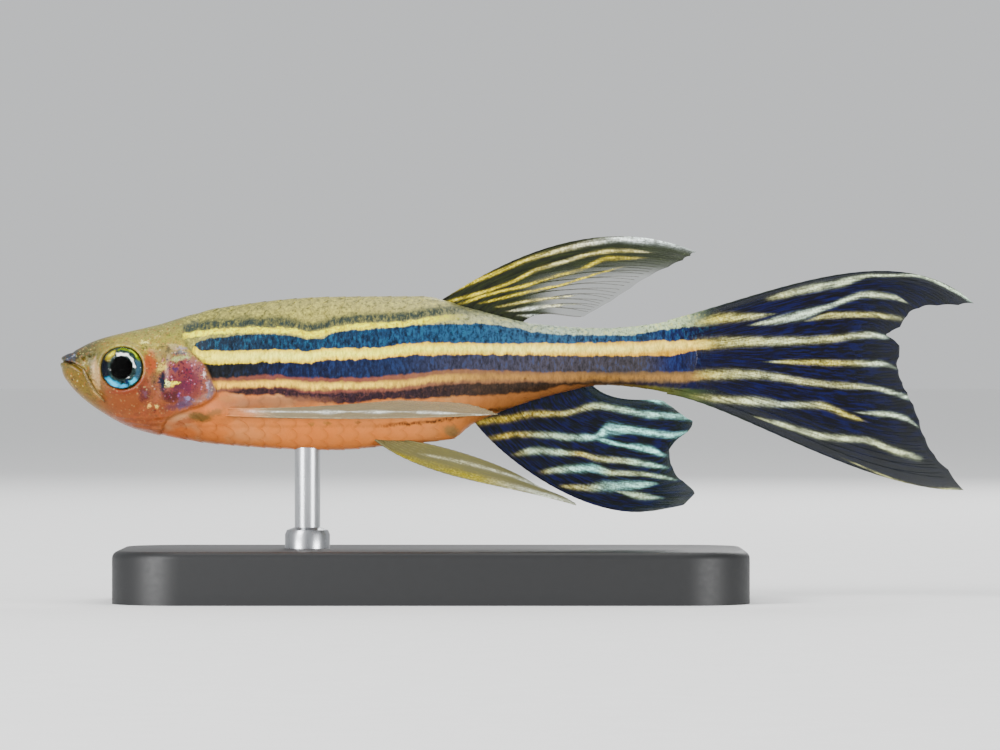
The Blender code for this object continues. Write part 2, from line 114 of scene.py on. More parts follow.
FLAP_RISE = 0.15
FLAP_REACH = 1.1

# Upper edges of the bands along the flank, from the back down: (s, h)
THIN_GOLD_LINE = (
    (5.8, 1.6), (6.8, 1.76), (8.2, 1.99), (10.1, 2.13), (12.0, 2.17), (13.2, 2.1), (14.3, 1.87),
    (15.0, 1.98), (15.8, 2.22), (17.6, 2.39), (19.6, 2.5), (21.1, 2.73), (23.0, 2.9),
)
UPPER_BLUE_TOP = (
    (0, 0.85), (7.45, 0.85), (7.7, 1.3), (8.2, 1.59), (10.1, 1.84), (12.0, 1.93), (13.3, 1.82), (14.0, 1.65),
    (14.8, 1.65), (15.6, 1.99), (17.6, 2.22), (19.6, 2.33), (21.5, 2.5), (23.5, 2.5), (25.5, 2.36),
    (27.5, 1.99), (29.8, 1.87), (32.1, 1.87), (33.9, 2.1), (37, 2.4),
)
UPPER_BLUE_FOOT = (
    (0, 0.83), (7.45, 0.83), (7.7, 1.22), (8.0, 0.98), (10.1, 0.99), (12.7, 1.05), (14.3, 0.96), (15.1, 1.13),
    (17.6, 1.13), (19.6, 1.34), (20.6, 1.43), (25.5, 1.39), (31.0, 1.45), (37, 1.6),
)
LOWER_BLUE_TOP = (
    (0, 0.27), (10.1, 0.23), (12.0, 0.33), (14.2, 0.27), (15.1, 0.45), (17.6, 0.5), (19.1, 0.62),
    (20.6, 0.75), (25.5, 0.75), (31.0, 0.69), (34.6, 0.69), (36.0, 0.94), (37.4, 1.12),
)
LOWER_BLUE_FOOT = (
    (0, -0.58), (9.0, -0.58), (10.6, -0.47), (12.0, -0.38), (13.2, -0.53), (15.1, -0.58),
    (17.6, -0.53), (19.6, -0.38), (21.5, -0.18), (22.6, -0.09), (25.5, -0.18), (31.0, -0.24), (37, -0.18),
)
BROWN_TOP = (
    (0, -1.33), (9.4, -1.33), (11.1, -1.15), (12.4, -1.15), (14.7, -1.42), (17.6, -1.37),
    (19.6, -1.27), (21.5, -0.98), (23.0, -0.87), (31.0, -0.81), (35.0, -0.84), (37.4, -0.62),
)
BROWN_FOOT = (
    (0, -1.33), (9.3, -1.36), (11.1, -1.55), (12.4, -1.5), (13.1, -1.76), (14.2, -1.9),
    (16.6, -2.01), (18.1, -1.81), (20.6, -1.76), (22.6, -1.61), (25.7, -1.47), (27.5, -1.29),
    (28.6, -0.98), (31.0, -0.93), (37, -1.21),
)
ORANGE_CORE = (
    (8.5, -0.95), (10.0, -0.93), (12.5, -0.88), (14.7, -1.02), (17.6, -0.98), (19.6, -0.86),
    (21.5, -0.6), (25.0, -0.5), (37, -0.52),
)
BELLY_LINE = ((18.0, -3.3), (19.1, -3.21), (21.1, -3.04), (23.1, -2.7), (26, -2.3))

# Blotches of the head, some of them painted shade or painted highlight where marked:
# (s, h, half length, half height, turn in degrees, colour, strength)
HEAD_MARKS = (
    (0.85, -0.55, 0.85, 0.9, 0, "#644c02", 0.85),
    (0.5, 0.8, 0.5, 0.22, 25, "#1c242e", 0.95),
    (0.62, 0.52, 0.42, 0.15, 10, "#20283a", 0.9),
    # Painted highlight: two pale lilac streaks on the upper lip
    (0.75, 0.68, 0.16, 0.06, 35, "#7c82a4", 0.65),
    (0.42, 0.52, 0.13, 0.045, 10, "#545a78", 0.6),
    # Painted shade in the fold behind the upper lip
    (0.98, 0.62, 0.08, 0.34, -25, "#2a2505", 0.8),
    # Painted shadow in the mouth slit
    (0.6, 0.33, 0.5, 0.07, -8, "#020202", 0.95),
    # Painted shade in the two nostrils
    (1.35, 0.52, 0.14, 0.13, 0, "#1c1702", 0.9),
    (1.98, 0.75, 0.1, 0.08, 0, "#373411", 0.7),
    (1.45, 0.2, 0.3, 0.45, 0, "#74621a", 0.6),
    (0.71, -0.62, 0.15, 0.1, 30, "#2c1d02", 0.8),
    (0.95, -1.2, 0.14, 0.09, 0, "#372702", 0.8),
    (1.58, -1.5, 0.16, 0.08, -40, "#443506", 0.8),
    (2.55, -1.85, 0.16, 0.09, -30, "#3b2802", 0.8),
    (2.1, -0.35, 0.22, 0.85, 8, "#a88858", 0.8),
    (2.0, -1.2, 0.16, 0.6, 30, "#c89c58", 0.65),
    (3.6, -1.85, 1.3, 0.65, 0, "#703408", 0.85),
    (3.63, -1.33, 1.1, 0.16, 0, "#742806", 0.8),
    (5.2, 0.22, 0.38, 0.8, 0, "#8c300e", 0.85),
    (4.75, -0.9, 0.4, 0.5, -30, "#70290a", 0.8),
    (6.3, 0.85, 0.9, 0.45, 0, "#6c5834", 0.65),
    (7.15, -0.6, 1.35, 1.35, 0, "#641f24", 0.95),
    (7.6, 0.1, 0.8, 0.45, -20, "#742c30", 0.7),
    (6.3, -0.1, 0.55, 0.45, 0, "#74382c", 0.65),
    (6.83, -0.98, 0.42, 0.34, 20, "#400222", 0.8),
    (7.3, -1.1, 0.3, 0.4, 0, "#4a022a", 0.7),
    (7.7, -0.6, 0.3, 0.4, 0, "#521226", 0.6),
    (7.35, -0.2, 0.3, 0.25, 0, "#500a20", 0.7),
    (6.63, -0.09, 0.18, 0.13, 0, "#1a1246", 0.8),
    (6.4, -1.6, 0.55, 0.34, 0, "#380206", 0.9),
    (4.85, -1.5, 0.36, 0.44, 0, "#440e14", 0.85),
    (4.9, -1.45, 0.13, 0.2, 0, "#60394a", 0.6),
    (6.6, -2.2, 0.6, 0.2, 10, "#4e222e", 0.75),
    (7.2, -2.0, 0.55, 0.32, 25, "#40304a", 0.8),
    (7.35, -1.75, 0.2, 0.16, 30, "#7c7498", 0.7),
    (6.87, -1.6, 0.1, 0.22, 0, "#3a1a74", 0.6),
    (5.9, -0.82, 0.2, 0.66, 4, "#020a20", 1.0),
    (6.52, -0.87, 0.42, 0.15, 5, "#c8a402", 1.0),
    (6.62, -0.84, 0.28, 0.08, 8, "#f0e602", 1.0),
    (6.17, -0.87, 0.15, 0.2, 0, "#e8f07c", 1.0),
    (5.86, 0.05, 0.26, 0.26, 0, "#c8b048", 0.8),
    (5.4, -0.6, 0.16, 0.4, 0, "#4c3818", 0.7),
    (8.62, -1.3, 0.24, 0.65, 0, "#544550", 0.85),
    (8.5, -1.0, 0.1, 0.3, 0, "#9a8c9c", 0.6),
    (8.3, -0.43, 0.09, 0.2, 0, "#e0c8c8", 0.75),
    (5.1, -2.1, 0.16, 0.1, 0, "#e0a848", 0.8),
    (5.55, -2.2, 0.12, 0.08, 0, "#e0c058", 0.8),
    (5.38, -2.45, 0.14, 0.08, 0, "#390602", 0.8),
    (5.85, -3.0, 0.25, 0.05, 15, "#501602", 0.8),
    (4.83, 1.47, 0.26, 0.09, 0, "#e0d878", 0.85),
    (4.78, 1.13, 0.34, 0.07, -15, "#2b2811", 0.7),
    (5.86, 1.25, 0.3, 0.08, 10, "#2e2b16", 0.8),
    (6.2, 1.0, 0.12, 0.15, 0, "#2a2b1a", 0.7),
    (6.98, 1.12, 0.3, 0.1, 0, "#7c6c7c", 0.8),
    (6.9, 0.86, 0.5, 0.1, 4, "#26303a", 0.85),
    (6.95, 0.56, 0.6, 0.13, 10, "#94a45c", 0.8),
)
FLANK_MARKS = (
    # Painted shade: the skin darkened below and ahead of the pectoral fin's root
    (8.0, -2.8, 0.75, 0.28, -6, "#4c3c16", 0.88),
    (8.9, -2.55, 0.55, 0.22, 20, "#6c4c24", 0.7),
    (7.1, -3.05, 0.6, 0.2, 12, "#7c3818", 0.7),
    (9.5, -1.75, 0.5, 0.2, 0, "#94683a", 0.5),
    (12.2, -1.95, 3.4, 0.34, 2, "#845438", 0.7),
    (14.4, -3.2, 0.2, 0.1, 0, "#74642c", 0.5),
    (15.3, -3.15, 0.26, 0.1, 0, "#74642c", 0.5),
    (17.0, -3.1, 0.2, 0.08, 0, "#64502a", 0.5),
    (22.3, -3.6, 0.5, 0.35, -25, "#6c6440", 0.7),
)

# Arcs of the iris: (from, to, radius, half width, colour, strength), the angles in degrees
# from the rear over the top. The near-white arcs round the pupil are its silver ring, painted
# bright as a painted highlight; the small white dot is a painted glint.
IRIS_ARCS_AND_HIGHLIGHTS = (
    (148, 214, 1.0, 0.22, "#020412", 0.95),
    (-50, 30, 0.98, 0.17, "#2c4a5c", 0.9),
    (20, 104, 1.08, 0.08, "#5c7002", 0.9),
    (36, 66, 1.1, 0.045, "#b4c802", 0.9),
    (110, 154, 0.98, 0.16, "#8c7c02", 1.0),
    (114, 142, 1.0, 0.1, "#c0b802", 1.0),
    # Painted highlight: the silver ring round the pupil, painted near white
    (62, 112, 0.79, 0.09, "#f7f7f0", 1.0),
    (34, 66, 0.76, 0.075, "#dce8e0", 0.95),
    (2, 40, 0.71, 0.055, "#f2f7f4", 0.95),
    (210, 264, 1.0, 0.17, "#0284ac", 1.0),
    (218, 256, 1.02, 0.1, "#02b4dc", 1.0),
    (262, 287, 1.05, 0.12, "#02a0cc", 0.95),
    (296, 324, 0.98, 0.13, "#0cb8dc", 0.95),
    (284, 296, 0.82, 0.1, "#021748", 0.95),
    # Painted glint: a small white dot low on the iris
    (294, 308, 0.64, 0.05, "#f7f7f7", 0.9),
)

# Bright streaks of the fins: (s, h, half width, tint), the tint from gold at 0 to silver blue at 1
TAIL_STREAKS = (
    ((40.4, 3.95, 0.1, 0.3), (42.6, 4.5, 0.16, 0.5), (44.5, 4.85, 0.16, 0.6), (46.4, 5.3, 0.07, 0.6),
     (48.6, 5.3, 0.06, 0.7), (51.0, 4.45, 0.08, 0.8), (52.1, 3.75, 0.1, 1)),
    ((35.6, 2.4, 0.15, 0), (37.7, 2.85, 0.2, 0.1), (39.6, 2.95, 0.13, 0.3), (40.8, 3.1, 0.02, 0.5)),
    ((39.4, 2.45, 0.04, 0.5), (41.0, 2.75, 0.15, 0.7), (42.6, 3.1, 0.18, 0.8), (43.8, 3.5, 0.1, 0.8),
     (46.1, 4.2, 0.13, 0.6), (47.6, 4.05, 0.1, 0.6), (48.4, 3.7, 0.02, 0.6)),
    ((42.6, 2.7, 0.04, 0.4), (44.0, 3.0, 0.13, 0.2), (46.0, 3.05, 0.11, 0.2), (48.1, 2.8, 0.11, 0.4)),
    ((34.4, 1.2, 0.36, 0), (36.5, 1.36, 0.27, 0.1), (39.0, 1.5, 0.2, 0.25), (41.3, 1.53, 0.17, 0.4),
     (43.8, 1.65, 0.15, 0.3), (46.2, 1.9, 0.12, 0.6), (47.2, 1.75, 0.09, 0.9)),
    ((40.2, 0.35, 0.02, 0.6), (42.0, 0.34, 0.1, 0.1), (44.4, 0.28, 0.12, 0.1), (46.8, 0.25, 0.11, 0.7),
     (47.8, -0.03, 0.06, 0.8)),
    ((34.4, -0.58, 0.26, 0), (36.5, -0.4, 0.24, 0.1), (39.0, -0.35, 0.18, 0.3), (40.8, -0.5, 0.15, 0.4),
     (42.6, -0.8, 0.13, 0.3), (44.4, -0.98, 0.13, 0.3), (46.2, -1.1, 0.1, 0.5), (48.6, -1.75, 0.1, 0.9)),
    ((35.2, -1.5, 0.16, 0.1), (37.7, -1.78, 0.15, 0.3), (40.1, -1.95, 0.18, 0.5), (41.4, -2.1, 0.11, 0.6),
     (43.3, -2.13, 0.14, 0.3), (44.9, -2.7, 0.13, 0.1), (46.0, -3.05, 0.02, 0.1)),
    ((45.4, -2.55, 0.03, 0.6), (47.2, -2.65, 0.11, 0.7), (48.3, -2.9, 0.11, 0.8), (49.0, -3.4, 0.04, 0.8)),
    ((39.5, -2.75, 0.02, 0.4), (41.4, -3.3, 0.11, 0.5), (43.8, -3.95, 0.14, 0.5), (45.9, -4.1, 0.13, 0.5),
     (47.4, -4.65, 0.15, 0.5), (49.1, -5.2, 0.13, 0.6)),
    ((44.5, -5.1, 0.02, 0.3), (48.0, -6.5, 0.05, 0.3), (49.8, -6.95, 0.07, 0.3), (51.6, -6.98, 0.07, 0.5)),
)
DORSAL_STREAKS = (
    ((21.4, 4.0, 0.09, 0), (23.3, 4.83, 0.1, 0), (25.0, 5.5, 0.1, 0), (26.8, 6.25, 0.1, 0.1),
     (28.6, 6.75, 0.11, 0.3), (30.3, 7.15, 0.12, 0.6), (32.0, 7.4, 0.16, 0.9), (34.1, 7.3, 0.2, 1),
     (35.5, 7.0, 0.18, 1), (36.3, 6.6, 0.1, 1)),
    ((22.0, 3.75, 0.08, 0), (24.0, 4.31, 0.08, 0), (25.6, 4.86, 0.08, 0), (27.2, 5.63, 0.09, 0.1),
     (28.7, 6.06, 0.08, 0.3), (30.3, 6.53, 0.09, 0.2), (31.9, 6.72, 0.09, 0.2), (33.8, 6.6, 0.03, 0.4)),
    ((22.6, 3.6, 0.07, 0), (24.8, 4.31, 0.07, 0), (26.5, 4.7, 0.08, 0), (28.1, 5.19, 0.08, 0),
     (29.5, 5.57, 0.08, 0), (31.4, 6.27, 0.1, 0), (33.4, 6.29, 0.03, 0.1)),
    ((24.0, 3.7, 0.05, 0), (26.5, 4.31, 0.07, 0), (28.8, 4.81, 0.07, 0), (30.0, 5.2, 0.06, 0),
     (32.1, 5.8, 0.03, 0)),
    ((25.0, 3.5, 0.05, 0.1), (27.0, 3.87, 0.07, 0.2), (28.6, 4.05, 0.06, 0.3), (29.8, 4.2, 0.01, 0.4)),
    ((25.6, 3.25, 0.04, 0.4), (26.9, 3.42, 0.09, 0.8), (28.0, 3.55, 0.07, 0.5), (29.6, 3.66, 0.02, 0.5)),
    ((26.2, 3.0, 0.04, 0.6), (27.2, 2.95, 0.08, 1), (28.9, 2.75, 0.03, 0.9)),
)
ANAL_STREAKS = (
    ((23.0, -3.2, 0.14, 0), (25.4, -2.9, 0.16, 0), (27.3, -2.62, 0.14, 0.05), (28.5, -2.62, 0.12, 0.1),
     (30.6, -2.17, 0.14, 0.3), (32.0, -2.37, 0.14, 0.5), (33.5, -2.66, 0.14, 0.7), (35.9, -2.8, 0.13, 0.9),
     (36.3, -3.1, 0.05, 1)),
    ((24.4, -4.05, 0.12, 0), (26.1, -3.8, 0.12, 0.05), (27.9, -3.82, 0.13, 0.4), (29.0, -3.97, 0.14, 0.5),
     (30.4, -3.97, 0.13, 0.8), (31.3, -3.5, 0.24, 1), (32.4, -3.52, 0.15, 0.9), (34.9, -3.84, 0.13, 0.9),
     (35.9, -3.6, 0.04, 1)),
    ((30.4, -3.97, 0.1, 1), (32.0, -4.4, 0.09, 0.9), (33.5, -4.63, 0.15, 1), (34.5, -5.0, 0.07, 1)),
    ((25.9, -4.95, 0.1, 0.1), (27.1, -4.73, 0.15, 0.4), (28.6, -4.83, 0.13, 0.4), (29.6, -4.9, 0.1, 0.1),
     (30.7, -5.18, 0.13, 0.2), (32.0, -5.28, 0.12, 0.3), (33.0, -5.42, 0.13, 0.5), (34.6, -5.7, 0.06, 0.8)),
    ((27.4, -5.95, 0.1, 0.1), (29.0, -5.77, 0.15, 0.6), (30.3, -5.72, 0.17, 0.9), (31.5, -6.0, 0.12, 0.3),
     (32.8, -6.03, 0.1, 0.3), (34.3, -6.22, 0.08, 0.5), (35.1, -6.38, 0.04, 0.6)),
    ((28.6, -6.75, 0.08, 0.1), (30.0, -6.85, 0.14, 0.2), (31.3, -6.75, 0.2, 0.7), (32.8, -6.7, 0.16, 0.8),
     (34.0, -6.6, 0.06, 0.8)),
    ((31.6, -7.0, 0.03, 0.4), (33.0, -7.3, 0.14, 0.4), (34.3, -7.44, 0.05, 0.6)),
    ((31.4, -1.35, 0.04, 0.9), (32.8, -1.6, 0.08, 0.9), (34.2, -1.85, 0.14, 0.9), (35.6, -2.3, 0.08, 1)),
)
PELVIC_STREAKS = (
    ((18.0, -4.6, 0.14, 0), (20.4, -5.35, 0.18, 0), (22.2, -5.9, 0.24, 0), (23.6, -6.22, 0.22, 0),
     (25.1, -6.6, 0.16, 0.3), (26.6, -6.95, 0.12, 0.8), (29.4, -7.75, 0.09, 1)),
    ((20.5, -4.9, 0.05, 0.5), (23.0, -5.4, 0.1, 0.5), (25.5, -6.1, 0.08, 0.7), (28.4, -7.2, 0.06, 1)),
)
# The pectoral streaks are pale, mostly silver lines along the fin: partly silver cells, partly painted highlight
PECTORAL_STREAKS_AND_HIGHLIGHTS = (
    ((9.8, -2.3, 0.03, 0.5), (10.8, -2.45, 0.09, 1), (12.4, -2.5, 0.04, 0.8), (14.6, -2.52, 0.05, 0.8),
     (15.4, -2.53, 0.1, 1), (16.6, -2.5, 0.03, 0.8), (18.0, -2.52, 0.08, 1), (19.4, -2.5, 0.03, 0.7),
     (21.2, -2.55, 0.08, 1), (22.8, -2.6, 0.03, 0.6), (25.0, -2.7, 0.04, 0.6)),
)

# Stand and floor
BASE_LOW, BASE_HIGH = (np.array(corner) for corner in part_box("stand_base"))
ROD_LOW, ROD_HIGH = (np.array(corner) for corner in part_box("stand_rod"))
BASE_CORNER = 4.0

# The photograph's frame, at the fish: its width in mm and the point in its middle
VIEW_WIDTH = 57.14
VIEW_MIDDLE = (-1.1, 12.9)
CAMERA_DISTANCE = 400.0
SENSOR_WIDTH = 36.0

# Sockets of Blender's Mix node when it mixes colours
MIX_A, MIX_B, MIX_RESULT = 6, 7, 2


def linear(hexed):
    """An sRGB hex colour as the linear values that Blender shades with."""
    values = [int(hexed[k:k + 2], 16) / 255 for k in (1, 3, 5)]
    return tuple(v / 12.92 if v <= 0.04045 else ((v + 0.055) / 1.055) ** 2.4 for v in values)


class Curve:
    """A smooth line through keys of (position, value, ...) that doesn't swing past them."""

    def __init__(self, keys, warp=None):
        table = np.array(keys, float)
        self.warp = warp or np.asarray
        self.at = self.warp(table[:, 0])
        self.values = table[:, 1:]
        rates = np.diff(self.values, axis=0) / np.diff(self.at)[:, None]
        before, after = rates[:-1], rates[1:]
        level = before * after <= 0
        total = np.where(level, 1.0, before + after)
        inner = np.where(level, 0.0, 2 * before * after / total)
        self.slopes = np.vstack([rates[:1], inner, rates[-1:]])

    def __call__(self, position):
        x = np.clip(self.warp(np.asarray(position, float)), self.at[0], self.at[-1])
        i = np.clip(np.searchsorted(self.at, x, side="right") - 1, 0, len(self.at) - 2)
        step = (self.at[i + 1] - self.at[i])[..., None]
        f = (x - self.at[i])[..., None] / step
        rise = f * f * (3 - 2 * f)
        value = (
            self.values[i] * (1 - rise)
            + self.values[i + 1] * rise
            + self.slopes[i] * step * f * (1 - f) ** 2
            - self.slopes[i + 1] * step * f * f * (1 - f)
        )
        return value[..., 0] if value.shape[-1] == 1 else value


def root_of(s):
    return np.sqrt(np.maximum(s, 0.0))


back = Curve(BACK, root_of)
belly = Curve(BELLY, root_of)
half_width = Curve(HALF_WIDTH, root_of)
widest = Curve(WIDEST, root_of)
gill_margin = Curve(GILL_MARGIN)
tail_root = Curve(TAIL_ROOT)


def place(points):
    """Points of the fish, rows of (s, y, h) in millimetres, in metres in the frame."""
    points = np.array(points, float)
    points[..., 0] += SNOUT_X
    points[..., 2] += EYE_LEVEL
    return points * MM


def unplace(points):
    """The other way round: points of the frame as (s, y, h) in millimetres."""
    points = np.array(points, float) / MM
    points[..., 0] -= SNOUT_X
    points[..., 2] -= EYE_LEVEL
    return points


def eased(value):
    value = np.clip(value, 0.0, 1.0)
    return value * value * (3 - 2 * value)


def bump(distance, width):
    """1 on the line, fading to 0 at about twice the width from it."""
    return np.exp(-((distance / width) ** 2))


def away(s, h, line):
    """How far points are from a line of (s, h) points."""
    nearest = np.full(np.shape(s), 1e9)
    for (s0, h0), (s1, h1) in zip(line, line[1:]):
        length = (s1 - s0) ** 2 + (h1 - h0) ** 2
        f = np.clip(((s - s0) * (s1 - s0) + (h - h0) * (h1 - h0)) / length, 0, 1)
        nearest = np.minimum(nearest, np.hypot(s - s0 - f * (s1 - s0), h - h0 - f * (h1 - h0)))
    return nearest


def rounded(value):
    return np.abs(value) ** ROUNDNESS * np.sign(value)


def skin_point(s, turn):
    """The body at s, at an angle that starts at the right flank and goes up over the back."""
    s, turn = np.broadcast_arrays(np.asarray(s, float), np.asarray(turn, float))
    middle = widest(s)
    reach = np.where(np.sin(turn) > 0, back(s) - middle, middle - belly(s))
    y = half_width(s) * rounded(np.cos(turn))
    return np.stack([s, y, middle + reach * rounded(np.sin(turn))], axis=-1)


def outward(s, turn):
    """The direction straight out of the body."""
    s, turn = np.broadcast_arrays(np.asarray(s, float), np.asarray(turn, float))
    step = np.minimum(0.05, s / 2 + 0.001)
    along = skin_point(s + step, turn) - skin_point(s - step, turn)
    around = skin_point(s, turn + 0.03) - skin_point(s, turn - 0.03)
    normal = np.cross(around, along)
    return normal / np.maximum(np.linalg.norm(normal, axis=-1, keepdims=True), 1e-9)


def flank_turn(s, h):
    """The angle of the right flank at a height."""
    middle = widest(s)
    reach = np.where(h > middle, back(s) - middle, middle - belly(s))
    share = np.minimum(np.abs(h - middle) / reach, 1.0) ** (1 / ROUNDNESS)
    return np.arcsin(np.copysign(share, h - middle))


def flank_point(s, h, side=1, rise=0.0):
    """The point over the body at s and h, on one side (1 right, -1 left), lifted off it by rise."""
    turn = flank_turn(s, h)
    return (skin_point(s, turn) + rise * outward(s, turn)) * (1, side, 1)


def head_relief(s, h):
    """How far lips, folds, nostrils and the gill cover stand out from the plain head."""
    mouth = away(s, h, MOUTH)
    relief = 0.07 * bump(mouth - 0.2, 0.14) - (0.17 - 0.12 * eased((s - 1.0) / 0.5)) * bump(mouth, 0.055)
    relief -= 0.05 * bump(away(s, h, LIP_FOLD), 0.14)
    relief -= 0.045 * bump(away(s, h, JAW_FOLD), 0.15)
    relief -= 0.05 * bump(away(s, h, CHEEK_FOLD), 0.3)
    relief -= 0.05 * bump(away(s, h, GILL_PLATE), 0.14)
    for line in THROAT_RAYS:
        relief += 0.04 * bump(away(s, h, line), 0.1)
    for line in CROWN_LINES:
        relief -= 0.02 * bump(away(s, h, line), 0.13)
    for s0, h0 in NOSTRILS:
        spread = np.hypot(s - s0, h - h0)
        relief += 0.05 * bump(spread - 0.17, 0.07) - 0.16 * bump(spread, 0.09)
    brow = np.hypot(s - EYE_S, h) - EYE_RADIUS - 0.16
    relief += 0.09 * bump(brow, 0.16)
    on_flank = eased((1.9 - h) / 0.8) * eased((h + 3.0) / 1.1)
    ahead = gill_margin(h) - s
    low = eased((-1.6 - h) / 1.2)
    flap = FLAP_RISE * (1 - 0.6 * low) * on_flank * eased(1 - ahead / FLAP_REACH)
    return np.where(ahead > 0, relief + flap, (relief + flap) * eased(1 + ahead / (0.09 + 0.25 * low)))


def pectoral_mound(s, h):
    """The fleshy root of the pectoral fin, just behind the gill cover."""
    return 0.24 * bump(np.hypot((s - 9.25) / 0.95, (h + 2.5) / 0.62), 1.0)


def stem_thinning(s):
    """How the tail stem flattens into the tail fin."""
    return 1 - 0.72 * eased((s - 31.5) / 4.2)


def wipe_selection():
    for obj in bpy.context.selected_objects:
        obj.select_set(False)


def alone(obj):
    """Selects this object only and makes it the active one."""
    wipe_selection()
    bpy.context.view_layer.objects.active = obj
    obj.select_set(True)


def begin(name, primitive, **settings):
    """Adds a primitive as the start of a piece."""
    wipe_selection()
    primitive(**settings)
    obj = bpy.context.object
    obj.name = obj.data.name = name
    return obj


def points_of(obj):
    flat = np.empty(len(obj.data.vertices) * 3)
    obj.data.vertices.foreach_get("co", flat)
    return flat.reshape(-1, 3)


def move_points(obj, points):
    obj.data.vertices.foreach_set("co", np.asarray(points, float).ravel())
    obj.data.update()


def sheet_of(name, along, across, form):
    """A grid primitive whose points are laid out by form(u, v), with u and v from 0 to 1."""
    obj = begin(
        name, bpy.ops.mesh.primitive_grid_add, x_subdivisions=along, y_subdivisions=across, size=2
    )
    flat = points_of(obj)
    move_points(obj, place(form((flat[:, 0] + 1) / 2, (flat[:, 1] + 1) / 2)))
    return obj


def tidy_shell(obj, merge_mm=0.0):
    """Merges doubles where a shape closes on itself and turns the faces outwards."""
    alone(obj)
    bpy.ops.object.mode_set(mode="EDIT")
    bpy.ops.mesh.select_all(action="SELECT")
    if merge_mm:
        bpy.ops.mesh.remove_doubles(threshold=merge_mm * MM)
    bpy.ops.mesh.normals_make_consistent(inside=False)
    bpy.ops.object.mode_set(mode="OBJECT")


def apply_modifier(obj, kind, **settings):
    alone(obj)
    modifier = obj.modifiers.new(kind.lower(), kind)
    for name, value in settings.items():
        setattr(modifier, name, value)
    bpy.ops.object.modifier_apply(modifier=modifier.name)


def smooth(obj, angle=None):
    alone(obj)
    if angle is None:
        bpy.ops.object.shade_smooth()
    else:
        bpy.ops.object.shade_smooth_by_angle(angle=angle)


def set_attribute(obj, name, values):
    layer = obj.data.attributes.new(name, "FLOAT", "POINT")
    layer.data.foreach_set("value", np.asarray(values, float))


def hand_over(obj, material, slot, *nodes):
    """Gives a finished piece its material and its place in the frame."""
    obj.data.materials.clear()
    obj.data.materials.append(material)
    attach(obj, BODY)
    if nodes:
        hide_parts(*nodes)


def add(tree, kind, inputs=None, output=0, stops=(), points=(), **settings):
    """Adds a node with its settings, its inputs (values, or the outputs of other nodes), its
    ramp stops or its curve points, and gives back one of its outputs."""
    made = tree.nodes.new("ShaderNode" + kind)
    for name, value in settings.items():
        setattr(made, name, value)
    for socket, value in (inputs or {}).items():
        if isinstance(value, bpy.types.NodeSocket):
            tree.links.new(value, made.inputs[socket])
        else:
            made.inputs[socket].default_value = value
    if stops:
        ramp = made.color_ramp.elements
        while len(ramp) < len(stops):
            ramp.new(1.0)
        for element, (position, colour) in zip(ramp, stops):
            element.position = position
            element.color = (*colour, 1)
    if points:
        line = made.mapping.curves[0].points
        while len(line) < len(points):
            line.new(1.0, 1.0)
        for key, (x, y) in zip(line, points):
            key.location = (x, y)
            key.handle_type = "AUTO_CLAMPED"
        made.mapping.update()
    return made.outputs[output]


def new_material(name):
    """A material with a Principled shader: gives its node tree and that shader."""
    material = bpy.data.materials.new(name)
    material.use_nodes = True
    return material, material.node_tree, material.node_tree.nodes["Principled BSDF"]


def millimetres(tree):
    """The shaded point in millimetres, and its s and h on the fish."""
    spot = add(tree, "VectorMath", {0: add(tree, "TexCoord", output=3), 3: 1 / MM}, operation="SCALE")
    x, z = (add(tree, "SeparateXYZ", {0: spot}, output=k) for k in (0, 2))
    s = add(tree, "Math", {0: x, 1: SNOUT_X}, operation="SUBTRACT")
    h = add(tree, "Math", {0: z, 1: EYE_LEVEL}, operation="SUBTRACT")
    return spot, s, h


SPAN_S = 40.0
SPAN_H = 10.0


def edge_height(tree, share, line):
    """The height of a line of (s, h) keys, read at s as a share of the fish's length."""
    points = [(min(s / SPAN_S, 1), (h + SPAN_H / 2) / SPAN_H) for s, h in line]
    if points[0][0] > 0:
        points.insert(0, (0, points[0][1]))
    if points[-1][0] < 1:
        points.append((1, points[-1][1]))
    level = add(tree, "FloatCurve", {"Value": share}, points=points)
    return add(tree, "Math", {0: level, 1: SPAN_H, 2: -SPAN_H / 2}, operation="MULTIPLY_ADD")


def blotches(tree, colour, spot, marks, centre):
    """Lays soft oval marks over a colour, each at its own place beside the centre (x, z)."""
    for right, up, length, height, turn, hexed, strength in marks:
        local = add(
            tree, "Mapping",
            {
                "Vector": spot, "Location": (centre[0] + right, 0, centre[1] + up),
                "Rotation": (0, -turn * pi / 180, 0), "Scale": (length, 1000, height),
            },
            vector_type="TEXTURE",
        )
        reach = add(tree, "VectorMath", {0: local}, output=1, operation="LENGTH")
        share = add(
            tree, "MapRange", {0: reach, 1: 1.3, 2: 0.5, 3: 0.0, 4: strength}, interpolation_type="SMOOTHSTEP"
        )
        colour = add(
            tree, "Mix", {0: share, MIX_A: colour, MIX_B: (*linear(hexed), 1)}, MIX_RESULT, data_type="RGBA"
        )
    return colour


def drift_of(tree, spot):
    """A fine uneven shift of place that frays the edges of marks."""
    drift = add(tree, "TexNoise", {"Vector": spot, "Scale": 3.2, "Detail": 6.0, "Roughness": 0.8}, output=1)
    return add(tree, "VectorMath", {0: drift, 1: (0.5, 0.5, 0.5)}, operation="SUBTRACT")


